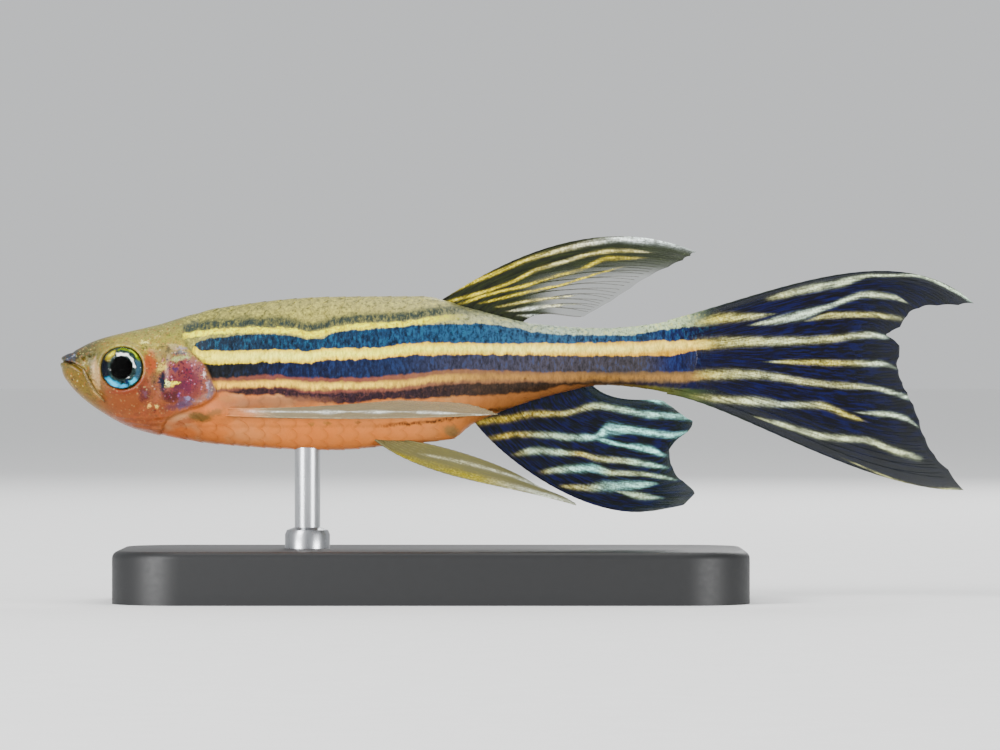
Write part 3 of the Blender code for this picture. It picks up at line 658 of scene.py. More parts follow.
def flank_colour(tree, spot, s, h):
    """The colours of back, bands and belly behind the head."""
    shades = bpy.context.scene.danio_colours
    share = add(tree, "Math", {0: s, 1: SPAN_S}, operation="DIVIDE")
    ripple = add(tree, "TexNoise", {"Vector": spot, "Scale": 2.2, "Detail": 3.0})
    wavy = add(tree, "Math", {0: ripple, 1: 0.3, 2: -0.15}, operation="MULTIPLY_ADD")
    stretched = add(tree, "Mapping", {"Vector": spot, "Scale": (6.2, 3.0, 2.6)})
    fleck = add(tree, "TexNoise", {"Vector": stretched, "Scale": 1.0, "Detail": 4.0, "Roughness": 0.7})
    toothed = add(tree, "Math", {0: fleck, 1: 0.16, 2: wavy}, operation="MULTIPLY_ADD")
    height = add(tree, "Math", {0: h, 1: toothed}, operation="ADD")
    height = add(tree, "Math", {0: height, 1: 0.08}, operation="SUBTRACT")
    grain = add(tree, "TexNoise", {"Vector": spot, "Scale": 5.0, "Detail": 3.0, "Roughness": 0.7})
    cloud = add(tree, "TexNoise", {"Vector": spot, "Scale": 0.55, "Detail": 2.0})

    def banded(colours, spread):
        """A band's colour from head to tail, with a fleck of darker and lighter cells in it."""
        base = add(tree, "ValToRGB", {0: share}, stops=[(p, linear(c)) for p, c in colours])
        light = add(tree, "MapRange", {0: fleck, 1: 0.36, 2: 0.64, 3: 1 - spread, 4: 1 + spread})
        return add(tree, "VectorMath", {0: base, 3: light}, operation="SCALE")

    def lay(colour, over, mask):
        return add(tree, "Mix", {0: mask, MIX_A: colour, MIX_B: over}, MIX_RESULT, data_type="RGBA")

    def below(line, soft=0.05):
        edge = edge_height(tree, share, line)
        gap = add(tree, "Math", {0: edge, 1: height}, operation="SUBTRACT")
        return add(tree, "MapRange", {0: gap, 1: -soft, 2: soft}, interpolation_type="SMOOTHSTEP")

    def near(line, width, soft):
        edge = edge_height(tree, share, line)
        gap = add(tree, "Math", {0: edge, 1: height}, operation="SUBTRACT")
        size = add(tree, "Math", {0: gap}, operation="ABSOLUTE")
        return add(
            tree, "MapRange", {0: size, 1: width + soft, 2: width - soft}, interpolation_type="SMOOTHSTEP"
        )

    back_base = banded(
        ((0.0, "#757136"), (0.2, "#7d783a"), (0.4, "#968e4a"), (0.55, "#98935e"), (0.7, "#93a392"), (0.88, "#a3b48c"),
         (0.93, "#3c4c40")),
        0.16,
    )
    speck = add(tree, "MapRange", {0: grain, 1: 0.52, 2: 0.64, 3: 0.0, 4: 0.65}, interpolation_type="SMOOTHSTEP")
    colour = lay(back_base, (*linear("#3d4322"), 1), speck)
    bright = add(tree, "MapRange", {0: grain, 1: 0.46, 2: 0.36, 3: 0.0, 4: 0.4})
    colour = lay(colour, (*linear("#d6cf5c"), 1), bright)

    # Dark cells gather in a zone just over the thin gold line
    over_line = [(p, q + 0.44) for p, q in THIN_GOLD_LINE]
    zone = near(over_line, 0.28, 0.18)
    speckled = add(tree, "MapRange", {0: fleck, 1: 0.36, 2: 0.54, 3: 0.42, 4: 1.0})
    zone = add(tree, "Math", {0: zone, 1: speckled}, operation="MULTIPLY")
    fade = add(tree, "MapRange", {0: s, 1: 26.5, 2: 21.5, 3: 0.2, 4: 0.95})
    colour = lay(colour, (*linear("#1a2a2c"), 1), add(tree, "Math", {0: zone, 1: fade}, operation="MULTIPLY"))

    thin = near(THIN_GOLD_LINE, 0.15, 0.06)
    fade = add(tree, "MapRange", {0: s, 1: 23.2, 2: 20.5, 3: 0.0, 4: 0.95})
    thin = add(tree, "Math", {0: thin, 1: fade}, operation="MULTIPLY")
    gold_line = banded(((0.0, "#c4aa02"), (0.25, "#d8c402"), (0.6, "#c8ba06")), 0.4)
    glitter = add(tree, "MapRange", {0: grain, 1: 0.46, 2: 0.58, 3: 0.0, 4: 1.0})
    colour = lay(colour, lay(gold_line, (*linear("#f7f718"), 1), glitter), thin)

    blue = banded(
        ((0.18, "#02101f"), (0.22, "#052034"), (0.36, "#0e2c46"), (0.47, "#143250"), (0.58, "#1c4260"),
         (0.72, "#26425c"), (0.83, "#1a3350"), (0.87, "#0c1e4a"), (0.91, "#040a2c")),
        0.75,
    )
    teal = add(tree, "MapRange", {0: fleck, 1: 0.53, 2: 0.61, 3: 0.0, 4: 0.6})
    blue = lay(blue, (*linear("#145068"), 1), teal)
    deep = add(tree, "MapRange", {0: grain, 1: 0.54, 2: 0.64, 3: 0.0, 4: 0.6})
    blue = lay(blue, (*linear("#020a1a"), 1), deep)
    colour = lay(colour, blue, below(UPPER_BLUE_TOP))

    gold = banded(((0.18, "#c8b004"), (0.25, "#d8b804"), (0.45, "#dca404"), (0.65, "#d09c14"), (0.95, "#b88820")), 0.35)
    foot = np.interp([p for p, _ in UPPER_BLUE_FOOT], *np.transpose(LOWER_BLUE_TOP))
    gold_core = [(p, (q + under_edge) / 2 + 0.02) for (p, q), under_edge in zip(UPPER_BLUE_FOOT, foot)]
    cream = banded(((0.18, "#f0e038"), (0.3, "#f7f060"), (0.5, "#f7ec38"), (0.7, "#f7e468"), (0.95, "#ecc850")), 0.3)
    gold = lay(gold, cream, near(gold_core, 0.22, 0.2))
    colour = lay(colour, gold, below(UPPER_BLUE_FOOT, 0.045))

    navy = banded(
        ((0.2, "#040404"), (0.26, "#060a12"), (0.33, "#071030"), (0.48, "#141f3c"), (0.56, "#2a2b3e"),
         (0.7, "#36323a"), (0.83, "#2e2a2e"), (0.87, "#0a1440"), (0.91, "#04082c")),
        0.6,
    )
    glint = add(tree, "MapRange", {0: fleck, 1: 0.54, 2: 0.62, 3: 0.0, 4: 0.5})
    woken = add(tree, "MapRange", {0: s, 1: 9.0, 2: 13.0, 3: 0.15, 4: 1.0})
    glint = add(tree, "Math", {0: glint, 1: woken}, operation="MULTIPLY")
    navy = lay(navy, (*linear("#18305a"), 1), glint)
    colour = lay(colour, navy, below(LOWER_BLUE_TOP, 0.05))

    orange = banded(
        ((0.2, "#6c4028"), (0.3, "#6a3830"), (0.45, "#784434"), (0.55, "#785034"), (0.65, "#745032"),
         (0.8, "#54402a"), (1.0, "#6c5430")),
        0.16,
    )
    colour = lay(colour, orange, below(LOWER_BLUE_FOOT, 0.07))
    core = near(ORANGE_CORE, 0.17, 0.13)
    fade = add(tree, "MapRange", {0: s, 1: 24.0, 2: 18.0, 3: 0.25, 4: 0.95})
    core = add(tree, "Math", {0: core, 1: fade}, operation="MULTIPLY")
    colour = lay(colour, banded(((0.2, "#eaac28"), (0.4, "#f2cc3c"), (0.7, "#c88c30")), 0.3), core)

    brown = banded(
        ((0.22, "#220c08"), (0.35, "#24101c"), (0.5, "#24161c"), (0.6, "#281a10"), (0.78, "#281a0e"), (0.9, "#060a2c")),
        0.6,
    )
    blotted = add(tree, "MapRange", {0: grain, 1: 0.34, 2: 0.46, 3: 0.6, 4: 1.0})
    solid = add(tree, "MapRange", {0: s, 1: 15.0, 2: 24.0, 3: 0.6, 4: 0.92})
    blotted = add(tree, "Math", {0: blotted, 1: solid}, operation="MAXIMUM")
    colour = lay(colour, brown, add(tree, "Math", {0: below(BROWN_TOP, 0.1), 1: blotted}, operation="MULTIPLY"))

    on_belly = add(tree, "MapRange", {0: s, 1: 25.0, 2: 20.0})
    under = banded(
        ((0.15, "#8a4420"), (0.2, "#9c5428"), (0.28, "#b46c34"), (0.4, "#bc7030"), (0.5, "#b47a40"), (0.6, "#945c2c"),
         (0.75, "#6e4422"), (0.85, "#4c4a1c"), (0.9, "#2c3a1c")),
        0.08,
    )
    for start, end, hexed in ((0.5, 0.34, "#b4895c"), (0.4, 0.65, "#c4682a")):
        clouded = add(tree, "MapRange", {0: cloud, 1: start, 2: end, 3: 0.0, 4: 0.55})
        clouded = add(tree, "Math", {0: clouded, 1: on_belly}, operation="MULTIPLY")
        under = lay(under, (*linear(hexed), 1), clouded)
    colour = lay(colour, under, below(BROWN_FOOT, 0.09))
    low = add(tree, "MapRange", {0: height, 1: -2.4, 2: -3.2}, interpolation_type="SMOOTHSTEP")
    for start, end in ((24.0, 20.0), (7.0, 13.0)):
        within = add(tree, "MapRange", {0: s, 1: start, 2: end})
        low = add(tree, "Math", {0: low, 1: within}, operation="MULTIPLY")
    colour = lay(colour, (*shades.belly, 1), add(tree, "Math", {0: low, 1: 0.75}, operation="MULTIPLY"))
    line = near(BELLY_LINE, 0.09, 0.08)
    broken = add(tree, "MapRange", {0: fleck, 1: 0.4, 2: 0.55, 3: 0.35, 4: 0.9})
    reach = add(tree, "MapRange", {0: s, 1: 17.8, 2: 19.4, 3: 0.2, 4: 1.0})
    line = add(tree, "Math", {0: line, 1: broken}, operation="MULTIPLY")
    colour = lay(colour, (*linear("#341808"), 1), add(tree, "Math", {0: line, 1: reach}, operation="MULTIPLY"))
    strewn = add(tree, "VectorMath", {0: drift_of(tree, spot), 1: (0.7, 0.7, 0.7), 2: spot}, operation="MULTIPLY_ADD")
    colour = blotches(tree, colour, strewn, FLANK_MARKS, (SNOUT_X, EYE_LEVEL))
    return colour, fleck, grain


def head_colour(tree, spot, s, h):
    """The colours of the head, under its marks."""
    level = add(tree, "MapRange", {0: h, 1: -4.5, 2: 3.5})
    ramp = [
        (0.0, "#8e4a20"), (0.18, "#783812"), (0.32, "#723612"), (0.46, "#7a4425"), (0.56, "#7e622e"),
        (0.7, "#8c7e2e"), (0.85, "#787436"), (1.0, "#656436"),
    ]
    colour = add(tree, "ValToRGB", {0: level}, stops=[(p, linear(c)) for p, c in ramp])
    snout = add(tree, "MapRange", {0: s, 1: 3.6, 2: 1.4, 3: 0.0, 4: 0.9}, interpolation_type="SMOOTHSTEP")
    snout_ramp = [(0.0, "#6a4c10"), (0.4, "#624e10"), (0.58, "#4c4a22"), (0.72, "#38392a")]
    snout_base = add(tree, "ValToRGB", {0: level}, stops=[(p, linear(c)) for p, c in snout_ramp])
    colour = add(tree, "Mix", {0: snout, MIX_A: colour, MIX_B: snout_base}, MIX_RESULT, data_type="RGBA")
    cells = add(tree, "TexNoise", {"Vector": spot, "Scale": 2.6, "Detail": 5.0, "Roughness": 0.75}, output=1)
    mixed = add(tree, "MixRGB", {0: 0.35, 1: colour, 2: cells}, blend_type="OVERLAY")
    mottle = add(tree, "TexNoise", {"Vector": spot, "Scale": 4.5, "Detail": 5.0, "Roughness": 0.8})
    light = add(tree, "MapRange", {0: mottle, 1: 0.32, 2: 0.68, 3: 0.66, 4: 1.34})
    return add(tree, "VectorMath", {0: mixed, 3: light}, operation="SCALE")


def head_cells(tree, colour, spot, s, h):
    """Scatters fine dark and pale cells over the head, red and lilac ones on the gill cover."""
    where = add(tree, "CombineXYZ", {0: s, 2: h})
    gill = add(tree, "VectorMath", {0: where, 1: (7.0, 0.0, -0.75)}, output=1, operation="DISTANCE")
    gill = add(tree, "MapRange", {0: gill, 1: 2.1, 2: 1.3}, interpolation_type="SMOOTHSTEP")
    low = add(tree, "MapRange", {0: h, 1: -0.6, 2: -1.8, 3: 1.0, 4: 0.3})
    for scale, least, dark, gill_dark, strength in (
        (6.0, 0.6, "#2d2703", "#3a0219", 0.45),
        (9.0, 0.5, "#393312", "#20022a", 0.4),
        (7.0, 0.72, "#d8cc80", "#b47c98", 0.32),
        (8.0, 0.66, "#a3511c", "#78022e", 0.4),
    ):
        reach = add(tree, "TexVoronoi", {"Vector": spot, "Scale": scale})
        chance = add(tree, "TexVoronoi", {"Vector": spot, "Scale": scale}, output=1)
        chosen = add(tree, "MapRange", {0: chance, 1: least, 2: least + 0.05})
        round_spot = add(tree, "MapRange", {0: reach, 1: 0.5, 2: 0.25, 3: 0.0, 4: strength})
        share = add(tree, "Math", {0: chosen, 1: round_spot}, operation="MULTIPLY")
        share = add(tree, "Math", {0: share, 1: low}, operation="MULTIPLY")
        gathered = add(tree, "MapRange", {0: gill, 3: 1.0, 4: 1.9})
        share = add(tree, "Math", {0: share, 1: gathered}, operation="MULTIPLY", use_clamp=True)
        tone = add(
            tree, "Mix", {0: gill, MIX_A: (*linear(dark), 1), MIX_B: (*linear(gill_dark), 1)},
            MIX_RESULT, data_type="RGBA",
        )
        colour = add(tree, "Mix", {0: share, MIX_A: colour, MIX_B: tone}, MIX_RESULT, data_type="RGBA")
    return colour


def skin_material():
    """Wet fish skin under a thin clear slime: pigment and silver cells, glossy on top, with painted shade and painted
    highlights on the head and painted shade by the pectoral fins.
    """
    material, tree, shader = new_material("wet_fish_skin")
    spot, s, h = millimetres(tree)
    colour, fleck, grain = flank_colour(tree, spot, s, h)
    loose = add(tree, "VectorMath", {0: drift_of(tree, spot), 1: (0.9, 0.9, 0.9), 2: spot}, operation="MULTIPLY_ADD")
    head = blotches(tree, head_colour(tree, spot, s, h), loose, HEAD_MARKS, (SNOUT_X, EYE_LEVEL))
    head = head_cells(tree, head, spot, s, h)
    keys = [((p + SPAN_H / 2) / SPAN_H, q / SPAN_S) for p, q in GILL_MARGIN]
    level = add(tree, "MapRange", {0: h, 1: -SPAN_H / 2, 2: SPAN_H / 2})
    points = [(0, keys[0][1]), *keys, (1, keys[-1][1])]
    margin = add(tree, "FloatCurve", {"Value": level}, points=points)
    ahead = add(tree, "Math", {0: margin, 1: SPAN_S}, operation="MULTIPLY")
    ahead = add(tree, "Math", {0: ahead, 1: s}, operation="SUBTRACT")
    low = add(tree, "MapRange", {0: h, 1: -1.2, 2: -2.4, 3: 1.0, 4: 6.0})
    ahead = add(tree, "Math", {0: ahead, 1: low}, operation="DIVIDE")
    on_head = add(tree, "MapRange", {0: ahead, 1: -0.1, 2: 0.12}, interpolation_type="SMOOTHSTEP")
    colour = add(tree, "Mix", {0: on_head, MIX_A: colour, MIX_B: head}, MIX_RESULT, data_type="RGBA")
    tree.links.new(colour, shader.inputs["Base Color"])
    pores = add(tree, "TexNoise", {"Vector": spot, "Scale": 9.0, "Detail": 3.0})
    relief = add(tree, "Bump", {"Height": pores, "Strength": 0.5, "Distance": 0.03 * MM})
    tree.links.new(relief, shader.inputs["Normal"])
    rough = add(tree, "MapRange", {0: grain, 1: 0.3, 2: 0.7, 3: 0.3, 4: 0.48})
    tree.links.new(rough, shader.inputs["Roughness"])
    shader.inputs["IOR"].default_value = 1.38
    shader.inputs["Specular IOR Level"].default_value = 0.3
    shader.inputs["Metallic"].default_value = 0.05
    shader.inputs["Coat Weight"].default_value = 0.12
    shader.inputs["Coat Roughness"].default_value = 0.16
    return material


def scale_material():
    """Thin bony scales over silver cells: the skin's markings, each scale darker toward its free edge, partly from
    pigment at its margin and partly as painted shade where it lies over the next.
    """
    material, tree, shader = new_material("pearly_scales")
    spot, s, h = millimetres(tree)
    colour, fleck, grain = flank_colour(tree, spot, s, h)
    rim = add(tree, "Attribute", output=2, attribute_name="rim")
    # Darkens each scale toward its free edge: partly dark pigment at the margin, partly painted shade along the overlap
    shade = add(tree, "MapRange", {0: rim, 1: 0.55, 2: 1.0, 3: 1.02, 4: 0.91}, interpolation_type="SMOOTHSTEP")
    colour = add(tree, "VectorMath", {0: colour, 3: shade}, operation="SCALE")
    tree.links.new(colour, shader.inputs["Base Color"])
    relief = add(tree, "Bump", {"Height": grain, "Strength": 0.5, "Distance": 0.02 * MM})
    tree.links.new(relief, shader.inputs["Normal"])
    rough = add(tree, "MapRange", {0: fleck, 1: 0.3, 2: 0.7, 3: 0.32, 4: 0.48})
    tree.links.new(rough, shader.inputs["Roughness"])
    shader.inputs["IOR"].default_value = 1.4
    shader.inputs["Specular IOR Level"].default_value = 0.22
    shader.inputs["Metallic"].default_value = 0.05
    shader.inputs["Coat Weight"].default_value = 0.06
    shader.inputs["Coat Roughness"].default_value = 0.16
    return material


def iris_material(side):
    """The iris: silver and pigment cells under a clear cornea, with a black pupil and painted highlights on its silver
    ring.
    """
    material, tree, shader = new_material("iris_" + side)
    spot, s, h = millimetres(tree)
    centre = (SNOUT_X + EYE_S, EYE_LEVEL)
    drift = add(tree, "TexNoise", {"Vector": spot, "Scale": 4.0, "Detail": 4.0}, output=1)
    drift = add(tree, "VectorMath", {0: drift, 1: (0.5, 0.5, 0.5)}, operation="SUBTRACT")
    loose = add(tree, "VectorMath", {0: drift, 1: (0.3, 0.3, 0.3), 2: spot}, operation="MULTIPLY_ADD")
    grain = add(tree, "TexNoise", {"Vector": spot, "Scale": 8.0, "Detail": 3.0})
    colour = add(
        tree, "ValToRGB", {0: grain},
        stops=((0.3, linear("#021216")), (0.5, linear("#1c2c2a")), (0.7, linear("#3e4e48"))),
    )
    flat = add(tree, "Mapping", {"Vector": loose, "Location": (-centre[0], 0, -centre[1]), "Scale": (1, 0, 1)})
    reach = add(tree, "VectorMath", {0: flat}, output=1, operation="LENGTH")
    for start, stop, radius, width, hexed, strength in IRIS_ARCS_AND_HIGHLIGHTS:
        turned = add(
            tree, "Mapping", {"Vector": flat, "Rotation": (-pi / 2, 0, -(start + stop) / 2 * pi / 180)}
        )
        angle = add(tree, "TexGradient", {"Vector": turned}, output=1, gradient_type="RADIAL")
        angle = add(tree, "Math", {0: angle, 1: 0.5}, operation="SUBTRACT")
        angle = add(tree, "Math", {0: angle}, operation="ABSOLUTE")
        half = (stop - start) / 720
        along = add(tree, "MapRange", {0: angle, 1: half + 0.012, 2: half - 0.02}, interpolation_type="SMOOTHSTEP")
        across = add(tree, "Math", {0: reach, 1: radius}, operation="SUBTRACT")
        across = add(tree, "Math", {0: across}, operation="ABSOLUTE")
        across = add(
            tree, "MapRange", {0: across, 1: width * 1.25, 2: width * 0.6, 3: 0.0, 4: strength},
            interpolation_type="SMOOTHSTEP",
        )
        share = add(tree, "Math", {0: along, 1: across}, operation="MULTIPLY")
        colour = add(
            tree, "Mix", {0: share, MIX_A: colour, MIX_B: (*linear(hexed), 1)}, MIX_RESULT, data_type="RGBA"
        )
    flat = add(tree, "Mapping", {"Vector": spot, "Location": (-centre[0] + 0.05, 0, -centre[1]), "Scale": (1, 0, 1)})
    reach = add(tree, "VectorMath", {0: flat}, output=1, operation="LENGTH")
    limb = add(tree, "MapRange", {0: reach, 1: 1.1, 2: 1.2}, interpolation_type="SMOOTHSTEP")
    colour = add(tree, "Mix", {0: limb, MIX_A: colour, MIX_B: (*linear("#2c3012"), 1)}, MIX_RESULT, data_type="RGBA")
    pupil = add(tree, "MapRange", {0: reach, 1: 0.68, 2: 0.63}, interpolation_type="SMOOTHSTEP")
    colour = add(tree, "Mix", {0: pupil, MIX_A: colour, MIX_B: (*linear("#000000"), 1)}, MIX_RESULT, data_type="RGBA")
    tree.links.new(colour, shader.inputs["Base Color"])
    shader.inputs["Roughness"].default_value = 0.5
    shader.inputs["Specular IOR Level"].default_value = 0.02
    return material


def cornea_material():
    """A clear, wet cornea: seen only by its gloss."""
    material, tree, shader = new_material("clear_cornea")
    gloss = add(tree, "BsdfGlossy", {"Roughness": 0.05})
    clear = add(tree, "BsdfTransparent")
    share = add(tree, "Fresnel", {"IOR": 1.09})
    mixed = add(tree, "MixShader", {0: share, 1: clear, 2: gloss})
    tree.links.new(mixed, tree.nodes["Material Output"].inputs["Surface"])
    tree.nodes.remove(shader)
    return material


def fin_material(name, clear, dark, sheen, gold, silver, least, most, joined=None):
    """A fin's web or ray: clear skin stained with dark cells that shine blue or green in places,
    and streaks of gold and silver cells that break up into fibres and sparkles; on the pectoral
    fins the pale streaks are partly painted highlight. The streaks, the stain and the way along
    and across the rays come as attributes. A fin that carries the colours of the body on takes
    them up to the first s of joined, and drops them by the second."""
    material, tree, shader = new_material(name)
    spot, s, h = millimetres(tree)
    gild, tint, stain, across, out = (
        add(tree, "Attribute", output=2, attribute_name=layer) for layer in ("gild", "tint", "stain", "across", "out")
    )
    fibres = add(tree, "Mapping", {"Vector": add(tree, "CombineXYZ", {0: across, 1: out}), "Scale": (5.0, 11.0, 1.0)})
    fleck = add(tree, "TexNoise", {"Vector": fibres, "Scale": 1.0, "Detail": 4.0, "Roughness": 0.7})
    grain = add(tree, "TexNoise", {"Vector": spot, "Scale": 8.0, "Detail": 2.0, "Roughness": 0.7})
    patch = add(tree, "TexNoise", {"Vector": spot, "Scale": 1.1, "Detail": 2.0})
    shine = add(tree, "MapRange", {0: fleck, 1: 0.46, 2: 0.6}, interpolation_type="SMOOTHSTEP")
    deep = add(
        tree, "Mix", {0: shine, MIX_A: (*linear(dark), 1), MIX_B: (*linear(sheen), 1)}, MIX_RESULT, data_type="RGBA"
    )
    base = add(tree, "Mix", {0: stain, MIX_A: (*linear(clear), 1), MIX_B: deep}, MIX_RESULT, data_type="RGBA")
    shifted = add(tree, "Math", {0: grain, 1: 0.5, 2: -0.25}, operation="MULTIPLY_ADD")
    hue = add(tree, "Math", {0: tint, 1: shifted}, operation="ADD", use_clamp=True)
    streak = add(
        tree, "Mix", {0: hue, MIX_A: (*linear(gold), 1), MIX_B: (*linear(silver), 1)}, MIX_RESULT, data_type="RGBA"
    )
    sparkle = add(tree, "MapRange", {0: grain, 1: 0.36, 2: 0.62, 3: 0.72, 4: 1.3})
    streak = add(tree, "VectorMath", {0: streak, 3: sparkle}, operation="SCALE")
    strength = add(tree, "Math", {0: gild, 1: 1.2}, operation="MULTIPLY")
    for pattern, low, high, weak, strong in (
        (grain, 0.38, 0.58, 0.86, 1.06), (fleck, 0.4, 0.58, 0.3, 1.2), (patch, 0.36, 0.62, 0.5, 1.2),
    ):
        broken = add(tree, "MapRange", {0: pattern, 1: low, 2: high, 3: weak, 4: strong})
        strength = add(tree, "Math", {0: strength, 1: broken}, operation="MULTIPLY")
    strength = add(tree, "Math", {0: strength, 1: 1.0}, operation="MINIMUM")
    colour = add(tree, "Mix", {0: strength, MIX_A: base, MIX_B: streak}, MIX_RESULT, data_type="RGBA")
    body = add(tree, "Math", {0: stain, 1: strength}, operation="MAXIMUM")
    alpha = add(tree, "MapRange", {0: body, 1: 0.0, 2: 0.8, 3: least, 4: most})
    if joined:
        flank = flank_colour(tree, spot, s, h)[0]
        own = add(tree, "MapRange", {0: s, 1: joined[0], 2: joined[1]}, interpolation_type="SMOOTHSTEP")
        colour = add(tree, "Mix", {0: own, MIX_A: flank, MIX_B: colour}, MIX_RESULT, data_type="RGBA")
        alpha = add(tree, "Mix", {0: own, 2: 1.0, 3: alpha}, 0, data_type="FLOAT")
    tree.links.new(colour, shader.inputs["Base Color"])
    tree.links.new(alpha, shader.inputs["Alpha"])
    relief = add(tree, "Bump", {"Height": fleck, "Strength": 0.5, "Distance": 0.03 * MM})
    tree.links.new(relief, shader.inputs["Normal"])
    shader.inputs["Roughness"].default_value = 0.4
    shader.inputs["IOR"].default_value = 1.38
    shader.inputs["Specular IOR Level"].default_value = 0.2
    return material


def plain_material(name, hexed, roughness, metallic=0.0, brushed=0.0, coat=0.0):
    """A hard finish with a faint grain; brushed stretches the grain round the piece."""
    material, tree, shader = new_material(name)
    spot = add(tree, "VectorMath", {0: add(tree, "TexCoord", output=3), 3: 1 / MM}, operation="SCALE")
    stretch = add(tree, "Mapping", {"Vector": spot, "Scale": (1.0, 1.0, 1.0 + brushed)})
    grain = add(tree, "TexNoise", {"Vector": stretch, "Scale": 3.0, "Detail": 5.0, "Roughness": 0.7})
    base = linear(hexed)
    stops = ((0.3, tuple(0.85 * v for v in base)), (0.7, tuple(min(1.15 * v, 1) for v in base)))
    tree.links.new(add(tree, "ValToRGB", {0: grain}, stops=stops), shader.inputs["Base Color"])
    rough = add(tree, "MapRange", {0: grain, 1: 0.3, 2: 0.7, 3: roughness * 0.92, 4: roughness * 1.08})
    tree.links.new(rough, shader.inputs["Roughness"])
    shader.inputs["Metallic"].default_value = metallic
    shader.inputs["Coat Weight"].default_value = coat
    shader.inputs["Coat Roughness"].default_value = 0.05
    return material


def length_of(name, description, mm):
    return bpy.props.FloatProperty(name=name, description=description, default=mm * MM, unit="LENGTH", subtype="DISTANCE")


def shade_of(name, description, hexed):
    return bpy.props.FloatVectorProperty(
        name=name, description=description, default=linear(hexed), size=3, min=0, max=1, subtype="COLOR"
    )


class DanioSizes(bpy.types.PropertyGroup):
    """Sizes that a user may want to change."""

    scale_length: length_of("Scale length", "Length of a scale from its root to its free edge", 1.3)
    scale_pitch: length_of("Scale pitch", "Distance between neighbouring scales", 0.9)
    scale_thickness: length_of("Scale thickness", "Thickness of one scale", 0.02)
    coat_depth: length_of("Coat depth", "How deep the skin lies under the scales", 0.07)
    web_thickness: length_of("Web thickness", "Thickness of the skin between fin rays", 0.07)
    ray_radius: length_of("Ray radius", "Radius of a fin ray at its root", 0.075)
    barbel_radius: length_of("Barbel radius", "Radius of a feeler at its root", 0.11)


class DanioColours(bpy.types.PropertyGroup):
    """Colours that a user may want to change."""

    belly: shade_of("Belly", "Salmon of the belly", "#ea843a")
    floor: shade_of("Floor", "Pale floor", "#fafaf9")


class DANIO_OT_skin(bpy.types.Operator):
    """One skin over head, trunk and tail stem, with mouth, nostrils, eye rims and gill cover"""

    bl_idname = "danio.skin"
    bl_label = "Skin"

    def execute(self, context):
        depth = context.scene.danio_sizes.coat_depth / MM
        rows, columns = 300, 224
        head_end, end, tail_tuck = 9.6, 35.75, 0.75

        def form(u, v):
            turn = tau * v
            head_part = 0.62
            s = np.where(
                u < head_part,
                head_end * (u / head_part) ** 1.35,
                head_end + (end + tail_tuck - head_end) * (u - head_part) / (1 - head_part),
            )
            plain = skin_point(s, turn)
            step = 0.05 + 1.6 * eased((plain[:, 2] - 1.3) / 0.8)
            on_body = eased((s - gill_margin(plain[:, 2])) / step)
            s_body = np.minimum(s, end)
            points = skin_point(s_body, turn)
            h = points[:, 2]
            lift = head_relief(s_body, h) * (s_body < head_end) - depth * on_body - 0.02
            lift += pectoral_mound(s_body, h)
            points = points + outward(s_body, turn) * lift[:, None]
            side = np.where(points[:, 1] < 0, -1, 1)
            near = np.hypot(s_body - EYE_S, h)
            socket = eased((EYE_RADIUS + 0.02 - near) / 0.08) * (np.abs(points[:, 1]) > 0.8)
            floor_y = EYE_Y - 0.1
            points[:, 1] = np.where(
                socket > 0, side * (np.abs(points[:, 1]) * (1 - socket) + floor_y * socket), points[:, 1]
            )
            past = np.maximum(s - end, 0) / tail_tuck
            middle = widest(s_body)
            points[:, 0] += past * tail_tuck
            points[:, 1] *= stem_thinning(s_body) * (1 - eased(past) * 0.8)
            points[:, 2] = middle + (points[:, 2] - middle) * (1 - 0.04 * past)
            points[:, 0] -= eased((s - 33.0) / 2.75) * (end - tail_root(points[:, 2]))
            return points

        skin = sheet_of("fish_skin", rows, columns, form)
        tidy_shell(skin, merge_mm=0.002)
        alone(skin)
        bpy.ops.object.mode_set(mode="EDIT")
        bpy.ops.mesh.select_all(action="DESELECT")
        bpy.ops.mesh.select_non_manifold(extend=False)
        bpy.ops.mesh.edge_face_add()
        bpy.ops.mesh.select_all(action="SELECT")
        bpy.ops.mesh.normals_make_consistent(inside=False)
        bpy.ops.object.mode_set(mode="OBJECT")
        smooth(skin)
        hand_over(skin, skin_material(), "fish_skin", "head", "trunk", "tail_stem")
        return {"FINISHED"}


def one_scale(thickness):
    """A single scale: a round, thin plate, from (-1, -1) to (1, 1), with its free edge at +x."""
    plate = begin("one_scale", bpy.ops.mesh.primitive_grid_add, x_subdivisions=4, y_subdivisions=4, size=2)
    flat = points_of(plate)
    x, y = flat[:, 0], flat[:, 1]
    around = np.sqrt(1 - y * y / 2) * x
    across = np.sqrt(1 - x * x / 2) * y
    move_points(plate, np.stack([around, across, np.zeros(len(x))], axis=1))
    apply_modifier(plate, "SOLIDIFY", thickness=thickness, offset=0)
    tidy_shell(plate)
    return plate


def scale_rows(s):
    """How many scales go round the body at s."""
    return 26 if s < 22.5 else 20 if s < 26.0 else 14


